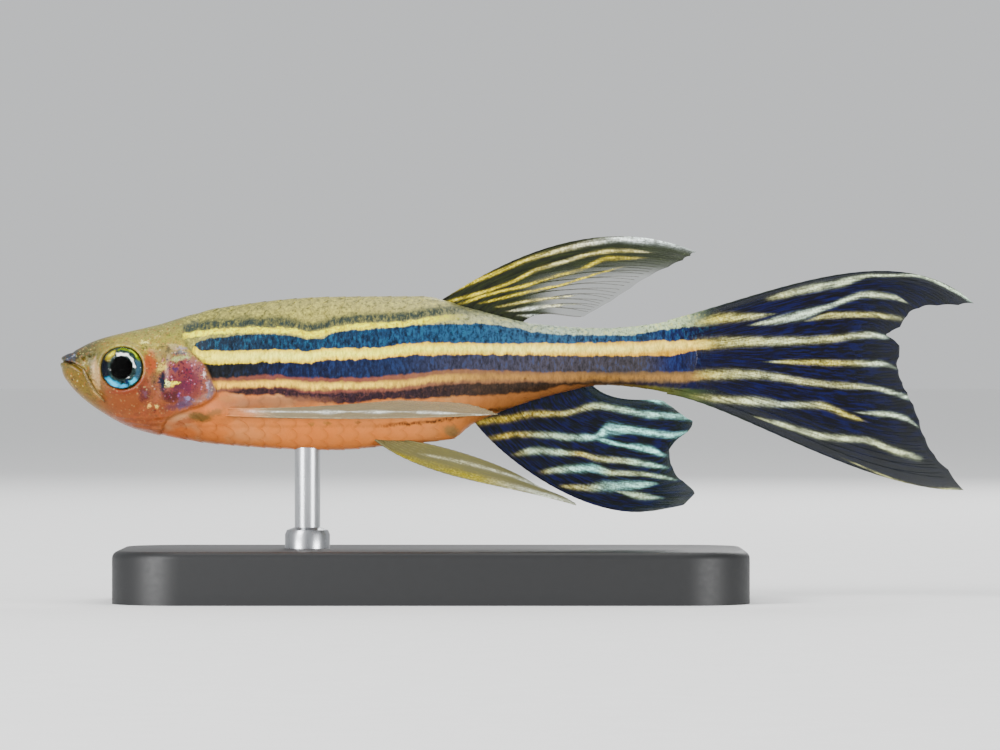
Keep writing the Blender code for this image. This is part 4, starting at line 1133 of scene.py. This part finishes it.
class DANIO_OT_scales(bpy.types.Operator):
    """Overlapping scales from the gill cover to the tail, each a thin plate over the skin"""

    bl_idname = "danio.scales"
    bl_label = "Scales"

    def execute(self, context):
        sizes = context.scene.danio_sizes
        thickness = sizes.scale_thickness / MM
        pitch = sizes.scale_pitch / MM
        half_length = sizes.scale_length / MM / 2
        plate = one_scale(thickness)
        shape = points_of(plate)
        faces = [tuple(face.vertices) for face in plate.data.polygons]
        bpy.data.objects.remove(plate)
        rng = np.random.default_rng(7)
        roots = {-1: [], 1: []}
        s, column = 6.4, 0
        while s < 35.2:
            count = scale_rows(s)
            fine = np.linspace(0, tau, 721)
            ring = skin_point(np.full(721, s), fine)
            run = np.concatenate([[0], np.cumsum(np.linalg.norm(np.diff(ring, axis=0), axis=1))])
            for k in range(count):
                turn = np.interp(run[-1] * ((k + 0.5 * (column % 2)) % count) / count, run, fine)
                centre = skin_point(s, turn)
                ahead = s - half_length * 0.6 < gill_margin(centre[2])
                behind = s + half_length > tail_root(centre[2]) + 0.5
                if ahead or behind or pectoral_mound(s, centre[2]) > 0.1:
                    continue
                roots[-1 if centre[1] < 0 else 1].append((s, turn, run[-1] / count))
            s += pitch * (1.0 if s < 22.5 else 0.92 if s < 26.0 else 0.84)
            column += 1
        material = scale_material()
        for side_name, side in SIDES:
            table = np.array(roots[side])
            s0, turn0, width = table[:, 0:1], table[:, 1:2], table[:, 2:3]
            girth_rate = np.linalg.norm(
                skin_point(s0[:, 0], turn0[:, 0] + 0.02) - skin_point(s0[:, 0], turn0[:, 0] - 0.02), axis=1
            )[:, None] / 0.04
            x, y, z = (shape[:, k][None, :] for k in range(3))
            wobble = rng.normal(0, 0.03, (len(table), 2))
            long = half_length * (1 + wobble[:, 0:1]) * np.where(s0 > 26, 0.84, 1.0)
            s = s0 + (x + 0.25) * long
            turn = turn0 + y * width * 0.6 / girth_rate
            free = (x + 1) / 2
            lift = -0.045 + 0.035 * free + z - 0.05 * eased((8.6 - s) / 1.4)
            points = skin_point(s, turn) + outward(s, turn) * lift[..., None]
            points[..., 1] *= stem_thinning(s)
            count = shape.shape[0]
            mesh = bpy.data.meshes.new("scales_" + side_name)
            all_faces = [tuple(i * count + v for v in face) for i in range(len(table)) for face in faces]
            mesh.from_pydata(place(points.reshape(-1, 3)).tolist(), [], all_faces)
            scales = bpy.data.objects.new("scales_" + side_name, mesh)
            context.collection.objects.link(scales)
            rim = np.tile(np.clip(np.hypot(x, y), 0, 1)[0] * (x[0] > 0), len(table))
            set_attribute(scales, "rim", rim)
            self.unwrap(mesh, table, shape, count)
            smooth(scales, 0.6)
            hand_over(scales, material, "fish_skin")
        return {"FINISHED"}

    def unwrap(self, mesh, table, shape, count):
        """Gives each scale a small patch at its root's place on the skin laid out flat."""
        patch = 0.0015
        layer = mesh.uv_layers.new(name="OFBake")
        corner = np.empty(len(mesh.loops), int)
        mesh.loops.foreach_get("vertex_index", corner)
        owner, local = corner // count, corner % count
        u = table[owner, 0] / SPAN_S + patch * shape[local, 0]
        v = table[owner, 1] / tau + patch * shape[local, 1]
        layer.data.foreach_set("uv", np.stack([u, v], axis=1).ravel())


class DANIO_OT_eyes(bpy.types.Operator):
    """Two eyes: a ball with its iris and pupil, under a clear cornea"""

    bl_idname = "danio.eyes"
    bl_label = "Eyes"

    def execute(self, context):
        clear = cornea_material()
        for side_name, side in SIDES:
            ball = begin(
                "eyeball_" + side_name, bpy.ops.mesh.primitive_uv_sphere_add, segments=72, ring_count=48, radius=1
            )
            unit = points_of(ball)
            x, out, up = unit[:, 0], unit[:, 2], -unit[:, 1]
            reach = np.hypot(x, up)
            dome = np.sqrt(np.maximum(1 - reach**2, 0))
            pupil_edge = 0.04 * eased((0.56 - reach) / 0.05)
            tilt = 0.1 * x - 0.1 * up
            depth = np.where(out > 0, 0.44 + 0.3 * dome - pupil_edge, 0.44 - 1.1 * dome) + tilt
            points = np.stack([EYE_S + x * EYE_RADIUS, side * (EYE_Y + depth), up * EYE_RADIUS], axis=1)
            move_points(ball, place(points))
            tidy_shell(ball)
            smooth(ball)
            hand_over(ball, iris_material(side_name), "fish_eye", "eye_" + side_name)

            cover = begin(
                "cornea_" + side_name, bpy.ops.mesh.primitive_uv_sphere_add, segments=64, ring_count=32,
                radius=1, rotation=(pi / 2, 0, 0),
            )
            alone(cover)
            bpy.ops.object.transform_apply(location=False, rotation=True, scale=False)
            bpy.ops.object.mode_set(mode="EDIT")
            bpy.ops.mesh.select_all(action="SELECT")
            bpy.ops.mesh.bisect(plane_co=(0, 0, 0), plane_no=(0, side, 0), clear_inner=True)
            bpy.ops.object.mode_set(mode="OBJECT")
            unit = points_of(cover)
            x, out, up = unit[:, 0], np.abs(unit[:, 1]), unit[:, 2]
            depth = EYE_Y + 0.46 + 0.36 * out + 0.1 * x - 0.1 * up
            move_points(cover, place(np.stack([EYE_S + x * EYE_RADIUS, side * depth, up * EYE_RADIUS], axis=1)))
            apply_modifier(cover, "SOLIDIFY", thickness=0.02 * MM, offset=-1)
            smooth(cover)
            hand_over(cover, clear, "fish_eye")
        return {"FINISHED"}


# Points round a fin ray
RING = 4


def tubes(name, lines, radii, sides=1):
    """Round strands along lines of points in metres, as one mesh."""
    curve = bpy.data.curves.new(name, "CURVE")
    curve.dimensions = "3D"
    curve.bevel_depth = 1.0
    curve.bevel_resolution = sides
    for line, widths in zip(lines, radii):
        spline = curve.splines.new("POLY")
        spline.points.add(len(line) - 1)
        flat = np.concatenate([np.asarray(line), np.ones((len(line), 1))], axis=1)
        spline.points.foreach_set("co", flat.ravel())
        spline.points.foreach_set("radius", np.asarray(widths) * MM)
    obj = bpy.data.objects.new(name, curve)
    bpy.context.collection.objects.link(obj)
    alone(obj)
    bpy.ops.object.convert(target="MESH")
    obj = bpy.context.object
    obj.data.name = name
    bpy.ops.object.mode_set(mode="EDIT")
    bpy.ops.mesh.select_all(action="SELECT")
    bpy.ops.mesh.fill_holes(sides=0)
    bpy.ops.object.mode_set(mode="OBJECT")
    return obj


class DANIO_OT_barbels(bpy.types.Operator):
    """Two short feelers that hang back from the corners of the mouth"""

    bl_idname = "danio.barbels"
    bl_label = "Barbels"

    def execute(self, context):
        root = context.scene.danio_sizes.barbel_radius / MM
        keys = Curve([(k / (len(BARBEL) - 1), s, h) for k, (s, h) in enumerate(BARBEL)])
        steps = np.linspace(0, 1, 25)
        lines, radii = [], []
        for _, side in SIDES:
            s, h = keys(steps).T
            lift = -0.03 + 0.16 * steps
            centre = flank_point(s, h, 1) + outward(s, flank_turn(s, h)) * lift[:, None]
            lines.append(place(centre * (1, side, 1)))
            radii.append(root * (1 - 0.72 * steps**1.5) * (1 + 0.05 * np.sin(steps * 60)))
        strands = tubes("barbels", lines, radii, sides=3)
        smooth(strands)
        feeler, tree, shader = new_material("barbel_skin")
        spot, s, h = millimetres(tree)
        grain = add(tree, "TexNoise", {"Vector": spot, "Scale": 7.0, "Detail": 3.0})
        stops = ((0.35, linear("#3e2c08")), (0.52, linear("#5e4a14")), (0.68, linear("#887038")))
        tree.links.new(add(tree, "ValToRGB", {0: grain}, stops=stops), shader.inputs["Base Color"])
        shader.inputs["Roughness"].default_value = 0.35
        hand_over(strands, feeler, "fish_skin")
        return {"FINISHED"}


def fin_shape(root, inner, outer, tip):
    """The middle surface of a fin as a function of t, from its first ray to its last, and v,
    from root to tip. The four lines cross the rays at v = 0, 1/3, 2/3 and 1, and hold
    (t, s, y, h) keys."""
    lines = [Curve(line) for line in (root, inner, outer, tip)]

    def shape(t, v):
        a, b, c = v - 1 / 3, v - 2 / 3, v - 1
        shares = (-4.5 * a * b * c, 13.5 * v * b * c, -13.5 * v * a * c, 4.5 * v * a * b)
        return sum(share[..., None] * line(t) for share, line in zip(shares, lines))

    return shape


def along_profile(profile, stations, side, sunk):
    """Keys of a fin's root line, sunk under the back (side 1) or the belly (side -1)."""
    last = len(stations) - 1
    return [(k / last, s, 0.0, float(profile(s)) - side * sunk) for k, s in enumerate(stations)]


def flat_keys(points, bend=0.0):
    """Keys at even steps of t through (s, h) points, at one distance from the middle plane."""
    return [(k / (len(points) - 1), s, bend, h) for k, (s, h) in enumerate(points)]


def streak_marks(points, streaks):
    """How golden each point of a fin is, and how far its gold turns to silver."""
    s, h = points[:, 0], points[:, 2]
    gild, tint = np.zeros(len(s)), np.zeros(len(s))
    for keys in streaks:
        line = Curve(keys)
        middle, width, hue = line(s).T
        inside = eased((s - keys[0][0]) / 1.1 + 0.3) * eased((keys[-1][0] - s) / 0.9 + 0.3)
        strength = bump(h - middle, width) * inside * eased(width / 0.05)
        tint = np.where(strength > gild, hue, tint)
        gild = np.maximum(gild, strength)
    return gild, tint


def make_fin(name, nodes, shape, rays, streaks, stain, materials, mirrored=False, tip_share=0.97, forks=2):
    """A fin's thin web and its rays, which fork on their way out and are jointed like beads."""
    sizes = bpy.context.scene.danio_sizes
    flip = np.array((1, -1 if mirrored else 1, 1))
    scallop = 0.006

    def web_form(t, v):
        between = np.abs(np.sin(pi * t * (rays - 1)))
        return shape(t, v * (1 - scallop * between)) * flip

    web = begin(
        name + "_web", bpy.ops.mesh.primitive_grid_add, x_subdivisions=216, y_subdivisions=110, size=2
    )
    flat = points_of(web)
    t, v = (flat[:, 0] + 1) / 2, (flat[:, 1] + 1) / 2
    points = web_form(t, v)
    ray_place = t * (rays - 1)
    to_ray = np.abs(ray_place - np.round(ray_place))
    move_points(web, place(points))
    gild, tint = streak_marks(points, streaks)
    set_attribute(web, "gild", gild)
    set_attribute(web, "tint", tint)
    set_attribute(web, "stain", stain(t, v) * (0.9 + 0.1 * bump(to_ray, 0.2)))
    set_attribute(web, "across", ray_place)
    set_attribute(web, "out", v)
    apply_modifier(web, "SOLIDIFY", thickness=sizes.web_thickness, offset=0)
    tidy_shell(web)
    smooth(web)
    hand_over(web, materials[0], "fish_fin", *nodes)

    rng = np.random.default_rng(len(name) * 31 + rays)
    root_radius = sizes.ray_radius / MM
    lines, radii, dims = [], [], []
    for k in range(rays):
        t0 = k / (rays - 1)
        spread = 1 / (rays - 1)
        fork_one = 0.34 + 0.08 * rng.random()
        fork_two = 0.64 + 0.08 * rng.random()
        outer_ray = k in (0, rays - 1)
        branches = [0.0] if outer_ray or forks == 0 else [-0.5, 0.5]
        if forks > 1 and not outer_ray:
            branches = [-0.75, -0.28, 0.28, 0.75]
        for branch in branches:
            steps = np.linspace(0.0, tip_share - 0.02 * rng.random(), 64)
            first = eased((steps - fork_one) / 0.3)
            second = eased((steps - fork_two) / 0.3)
            half = np.sign(branch) * 0.5 if forks > 1 else branch
            shift = (half * first + (branch - half) * second) * 0.52 * spread
            t_line = np.clip(t0 + shift, 0.0, 1.0)
            line = shape(t_line, steps) * flip
            share = 1 / (1 + 0.35 * (len(branches) > 1))
            joints = 1 + 0.16 * np.sin(steps * 150 + k) * eased(steps / 0.15)
            thin = root_radius * (1 - 0.72 * steps**0.8) * share
            lines.append(place(line))
            radii.append(thin * joints)
            dims.append(np.repeat([stain(t_line, steps), t_line * (rays - 1), steps], RING, axis=1))
    strands = tubes(name + "_rays", lines, radii, sides=0)
    where = unplace(points_of(strands))
    gild, tint = streak_marks(where, streaks)
    set_attribute(strands, "gild", gild)
    set_attribute(strands, "tint", tint)
    for layer, values in zip(("stain", "across", "out"), np.concatenate(dims, axis=1)):
        set_attribute(strands, layer, values)
    smooth(strands)
    hand_over(strands, materials[1], "fish_fin")


def fin_pair(name, clear, dark, sheen, bone, gold, silver, least, most, **settings):
    """Materials of a fin's web and of its rays, which are less clear."""
    web = fin_material(name + "_web_skin", clear, dark, sheen, gold, silver, least, most, **settings)
    ray = fin_material(name + "_ray_bone", bone, dark, sheen, gold, silver, least + 0.15, 0.97, **settings)
    return web, ray


class DANIO_OT_middle_fins(bpy.types.Operator):
    """Dorsal, anal and tail fin: webs with forked, jointed rays"""

    bl_idname = "danio.middle_fins"
    bl_label = "Dorsal, anal and tail fin"

    def execute(self, context):
        dorsal = fin_shape(
            along_profile(back, (21.6, 23.0, 24.5, 26.1), 1, 0.25),
            flat_keys(((25.12, 5.76), (25.5, 4.96), (26.4, 3.9), (27.3, 3.1)), 0.03),
            flat_keys(((30.26, 7.39), (29.75, 6.05), (29.2, 4.45), (28.55, 3.05)), 0.12),
            flat_keys(((36.32, 6.62), (35.52, 6.16), (33.63, 5.25), (31.41, 3.82), (29.85, 2.95)), 0.3),
        )

        def dorsal_stain(t, v):
            clear_rear = eased((t - 0.25) / 0.4) * eased((v - 0.22) / 0.4)
            return np.clip(0.95 - 0.3 * eased((v - 0.6) / 0.4) - 0.9 * clear_rear, 0.02, 1)

        make_fin(
            "dorsal_fin", ["dorsal_fin"], dorsal, 9, DORSAL_STREAKS, dorsal_stain,
            fin_pair("dorsal", "#3c4430", "#080a04", "#1c2204", "#46402a", "#c4b010", "#dce8e4", 0.14, 0.97),
        )

        anal_tip = (
            (33.86, -8.13), (35.63, -7.78), (36.21, -7.04), (35.29, -6.24), (34.83, -5.38), (34.72, -4.53),
            (35.1, -3.95), (35.9, -3.5), (36.1, -3.1), (35.6, -2.75), (35.0, -2.3), (34.4, -1.9),
        )
        anal = fin_shape(
            along_profile(belly, (23.6, 25.2, 27.2, 29.0, 30.1), -1, 0.25),
            flat_keys(((26.0, -5.33), (27.75, -4.18), (30.15, -2.81), (31.6, -1.7)), -0.03),
            flat_keys(((29.75, -7.53), (31.75, -5.95), (33.46, -3.55), (33.2, -1.85)), -0.12),
            flat_keys(anal_tip, -0.3),
        )

        def anal_stain(t, v):
            return np.clip(0.97 - 0.4 * eased((v - 0.8) / 0.2) - 0.35 * eased((t - 0.8) / 0.2), 0.1, 1)

        make_fin(
            "anal_fin", ["anal_fin"], anal, 13, ANAL_STREAKS, anal_stain,
            fin_pair("anal", "#16281c", "#020206", "#06083a", "#1c2d22", "#ac9224", "#9cece2", 0.5, 0.97),
        )

        root_keys = [(k / 4, float(tail_root(h)) - 0.15, 0.0, h) for k, h in enumerate((2.66, 1.7, 0.62, -0.4, -1.42))]
        margin = (
            (0, 52.15, 3.7), (0.06, 51.18, 3.59), (0.13, 49.69, 3.56), (0.2, 48.55, 3.19),
            (0.28, 47.92, 2.33), (0.36, 47.18, 1.87), (0.42, 47.75, 1.5), (0.47, 47.98, 1.02),
            (0.53, 47.81, 0.22), (0.6, 48.03, -0.7), (0.68, 48.43, -1.55), (0.75, 48.89, -2.53),
            (0.82, 49.29, -3.78), (0.89, 49.92, -4.98), (0.95, 50.78, -5.9), (1, 51.58, -6.98),
        )
        tail = fin_shape(
            root_keys,
            flat_keys(((40.9, 4.5), (40.2, 2.56), (40.32, 0.73), (39.98, -1.21), (39.41, -3.1))),
            flat_keys(((47.0, 5.52), (44.9, 3.6), (44.21, 0.62), (44.72, -2.35), (45.46, -5.67)), 0.05),
            [(t, s, 0.2, h) for t, s, h in margin],
        )

        def tail_stain(t, v):
            core = eased(t / 0.12) * eased((0.98 - t) / 0.22)
            return np.clip((0.2 + 0.8 * core) * (1 - 0.6 * eased((v - 0.6) / 0.4)), 0.1, 1)

        make_fin(
            "tail_fin", ["tail_fin_upper", "tail_fin_lower"], tail, 19, TAIL_STREAKS, tail_stain,
            fin_pair(
                "tail", "#14181a", "#020208", "#04083c", "#20261f", "#b8a82c", "#c4e0cc", 0.74, 0.98,
                joined=(35.5, 37.9),
            ),
        )
        return {"FINISHED"}


class DANIO_OT_paired_fins(bpy.types.Operator):
    """The pelvic and the pectoral fins, a pair of each"""

    bl_idname = "danio.paired_fins"
    bl_label = "Pelvic and pectoral fins"

    def execute(self, context):
        pelvic = fin_shape(
            [(0, *flank_point(17.9, -4.1, 1, -0.1)), (1, *flank_point(19.4, -4.2, 1, -0.1))],
            [(0, 21.3, 1.75, -5.75), (1, 22.4, 0.85, -4.75)],
            [(0, 25.2, 2.3, -6.75), (1, 25.3, 0.95, -5.75)],
            [(0, 29.4, 2.5, -7.78), (0.5, 28.6, 1.9, -7.35), (1, 27.4, 1.1, -6.95)],
        )
        pectoral = fin_shape(
            [(0, *flank_point(9.1, -2.72, 1, -0.12)), (1, *flank_point(9.2, -2.3, 1, -0.12))],
            [(0, 14.4, 4.4, -2.82), (1, 12.7, 3.15, -2.3)],
            [(0, 19.7, 6.1, -2.8), (1, 16.3, 3.6, -2.1)],
            [(0, 24.95, 7.3, -2.6), (0.15, 24.5, 6.7, -2.4), (0.5, 22.9, 5.2, -2.0), (1, 19.4, 3.9, -1.85)],
        )
        pelvic_skins = fin_pair(
            "pelvic", "#7c7854", "#5c5a34", "#74702c", "#8c8660", "#94880c", "#ccd2c0", 0.62, 0.94
        )
        pectoral_skins = fin_pair(
            "pectoral", "#8c7e60", "#6c6250", "#9a8c6c", "#a0926f", "#b8a880", "#dce2dc", 0.45, 0.85,
            joined=(9.9, 12.6),
        )
        for side_name, side in SIDES:
            mirrored = side < 0
            make_fin(
                "pelvic_fin_" + side_name, ["pelvic_fin_" + side_name], pelvic, 8, PELVIC_STREAKS,
                lambda t, v: 0.6 - 0.3 * v, pelvic_skins, mirrored, forks=1,
            )
            make_fin(
                "pectoral_fin_" + side_name, ["pectoral_fin_" + side_name], pectoral, 11, PECTORAL_STREAKS_AND_HIGHLIGHTS,
                lambda t, v: 0.55 - 0.3 * v, pectoral_skins, mirrored, forks=1,
            )
        return {"FINISHED"}


class DANIO_OT_stand(bpy.types.Operator):
    """The display stand: a bevelled acrylic base and a steel rod with a collar at its foot"""

    bl_idname = "danio.stand"
    bl_label = "Stand"

    def execute(self, context):
        size = BASE_HIGH - BASE_LOW
        middle = (BASE_LOW + BASE_HIGH) / 2
        base = begin("stand_plinth", bpy.ops.mesh.primitive_cube_add, size=1, location=middle, scale=size)
        alone(base)
        bpy.ops.object.transform_apply(location=True, rotation=True, scale=True)
        bpy.ops.object.mode_set(mode="EDIT")
        bpy.ops.mesh.select_mode(type="EDGE")
        bpy.ops.mesh.select_all(action="DESELECT")
        bpy.ops.object.mode_set(mode="OBJECT")
        for edge in base.data.edges:
            low, high = (base.data.vertices[i].co.z for i in edge.vertices)
            edge.select = abs(high - low) > size[2] / 2
        bpy.ops.object.mode_set(mode="EDIT")
        bpy.ops.mesh.bevel(offset=BASE_CORNER * MM, segments=14)
        bpy.ops.mesh.select_all(action="DESELECT")
        bpy.ops.object.mode_set(mode="OBJECT")
        for edge in base.data.edges:
            heights = [base.data.vertices[i].co.z for i in edge.vertices]
            edge.select = min(heights) > BASE_HIGH[2] - 0.01 * MM
        bpy.ops.object.mode_set(mode="EDIT")
        bpy.ops.mesh.bevel(offset=0.45 * MM, segments=5)
        bpy.ops.object.mode_set(mode="OBJECT")
        smooth(base, 0.5)
        hand_over(base, plain_material("black_acrylic", "#0c0d0f", 0.5), "stand_black", "stand_base")

        centre = (ROD_LOW + ROD_HIGH) / 2
        radius = (ROD_HIGH[0] - ROD_LOW[0]) / 2
        foot, top = BASE_HIGH[2] - 0.2 * MM, ROD_HIGH[2] + 0.45 * MM
        rod = begin(
            "stand_post", bpy.ops.mesh.primitive_cylinder_add, vertices=48, radius=radius * 0.92,
            depth=top - foot, location=(centre[0], centre[1], (top + foot) / 2),
        )
        alone(rod)
        bpy.ops.object.transform_apply(location=True, rotation=True, scale=True)
        bpy.ops.object.mode_set(mode="EDIT")
        for height in (foot + 1.0 * MM, foot + 1.25 * MM, foot + 1.4 * MM):
            bpy.ops.mesh.select_all(action="SELECT")
            bpy.ops.mesh.bisect(plane_co=(0, 0, height), plane_no=(0, 0, 1))
        bpy.ops.object.mode_set(mode="OBJECT")
        shaped = points_of(rod)
        spread = shaped[:, :2] - centre[:2]
        collar = np.where(shaped[:, 2] < foot + 1.1 * MM, 1.75, np.where(shaped[:, 2] < foot + 1.3 * MM, 1.6, 1.0))
        shaped[:, :2] = centre[:2] + spread * collar[:, None]
        move_points(rod, shaped)
        smooth(rod, 0.5)
        steel = plain_material("brushed_steel", "#a9abae", 0.28, metallic=1.0, brushed=-0.9)
        hand_over(rod, steel, "stand_steel", "stand_rod")
        return {"FINISHED"}


class DANIO_OT_stage(bpy.types.Operator):
    """The camera, a pale floor and soft studio lights"""

    bl_idname = "danio.stage"
    bl_label = "Camera, floor and lights"

    def execute(self, context):
        view = bpy.data.cameras.new("photo_view")
        view.sensor_width = SENSOR_WIDTH
        view.lens = SENSOR_WIDTH * CAMERA_DISTANCE / VIEW_WIDTH
        view.clip_start = 0.01
        camera = bpy.data.objects.new("photo_view", view)
        camera.location = (VIEW_MIDDLE[0] * MM, -CAMERA_DISTANCE * MM, VIEW_MIDDLE[1] * MM)
        camera.rotation_euler = (pi / 2, 0, 0)
        context.scene.collection.objects.link(camera)
        context.scene.camera = camera

        floor = begin("floor", bpy.ops.mesh.primitive_plane_add, size=12.0)
        paper, tree, shader = new_material("floor_paper")
        spot = add(tree, "TexCoord", output=3)
        grain = add(tree, "TexNoise", {"Vector": spot, "Scale": 400.0, "Detail": 3.0})
        tone = context.scene.danio_colours.floor
        stops = ((0.3, tuple(0.97 * v for v in tone)), (0.7, tuple(tone)))
        tree.links.new(add(tree, "ValToRGB", {0: grain}, stops=stops), shader.inputs["Base Color"])
        shader.inputs["Roughness"].default_value = 0.85
        floor.data.materials.append(paper)

        aim = np.array((-0.001, 0.0, EYE_LEVEL * MM))
        for name, place_at, width, height, power in (
            ("key", (-0.3, -0.32, 0.26), 0.2, 0.2, 2.2),
            ("low_front", (-0.32, -0.3, 0.045), 0.2, 0.06, 1.5),
            ("low_rear", (0.34, -0.3, 0.045), 0.2, 0.06, 1.4),
            ("top", (0.02, 0.05, 0.4), 0.3, 0.3, 0.7),
            ("rim", (0.12, 0.34, 0.22), 0.2, 0.2, 0.8),
        ):
            light = bpy.data.lights.new(name, "AREA")
            light.shape = "RECTANGLE"
            light.size, light.size_y = width, height
            light.energy = power
            lamp = bpy.data.objects.new(name, light)
            lamp.location = place_at
            towards = aim - np.array(place_at)
            flat = np.hypot(towards[0], towards[1])
            lamp.rotation_euler = (pi / 2 + np.arctan2(towards[2], flat), 0, np.arctan2(-towards[0], towards[1]))
            context.scene.collection.objects.link(lamp)
        world = bpy.data.worlds.new("studio")
        world.use_nodes = True
        sky = world.node_tree.nodes["Background"]
        sky.inputs["Color"].default_value = (*linear("#f2f4f6"), 1)
        sky.inputs["Strength"].default_value = 0.8
        context.scene.world = world
        return {"FINISHED"}


class DANIO_PT_panel(bpy.types.Panel):
    """Lists the danio's pieces in the sidebar"""

    bl_idname = "DANIO_PT_panel"
    bl_label = "Zebra Danio"
    bl_space_type = "VIEW_3D"
    bl_region_type = "UI"
    bl_category = "Danio"

    def draw(self, context):
        for operator in OPERATORS:
            self.layout.operator(operator.bl_idname)
        for group in (context.scene.danio_sizes, context.scene.danio_colours):
            for name in group.__annotations__:
                self.layout.prop(group, name)


OPERATORS = (
    DANIO_OT_stage, DANIO_OT_skin, DANIO_OT_scales, DANIO_OT_eyes, DANIO_OT_barbels,
    DANIO_OT_middle_fins, DANIO_OT_paired_fins, DANIO_OT_stand,
)
CLASSES = (DanioSizes, DanioColours, *OPERATORS, DANIO_PT_panel)


def register():
    for cls in CLASSES:
        bpy.utils.register_class(cls)
    bpy.types.Scene.danio_sizes = bpy.props.PointerProperty(type=DanioSizes)
    bpy.types.Scene.danio_colours = bpy.props.PointerProperty(type=DanioColours)


def unregister():
    del bpy.types.Scene.danio_colours
    del bpy.types.Scene.danio_sizes
    for cls in reversed(CLASSES):
        bpy.utils.unregister_class(cls)


def main():
    register()
    bpy.ops.danio.stage()
    bpy.ops.danio.skin()
    bpy.ops.danio.scales()
    bpy.ops.danio.eyes()
    bpy.ops.danio.barbels()
    bpy.ops.danio.middle_fins()
    bpy.ops.danio.paired_fins()
    bpy.ops.danio.stand()


if __name__ == "__main__":
    main()
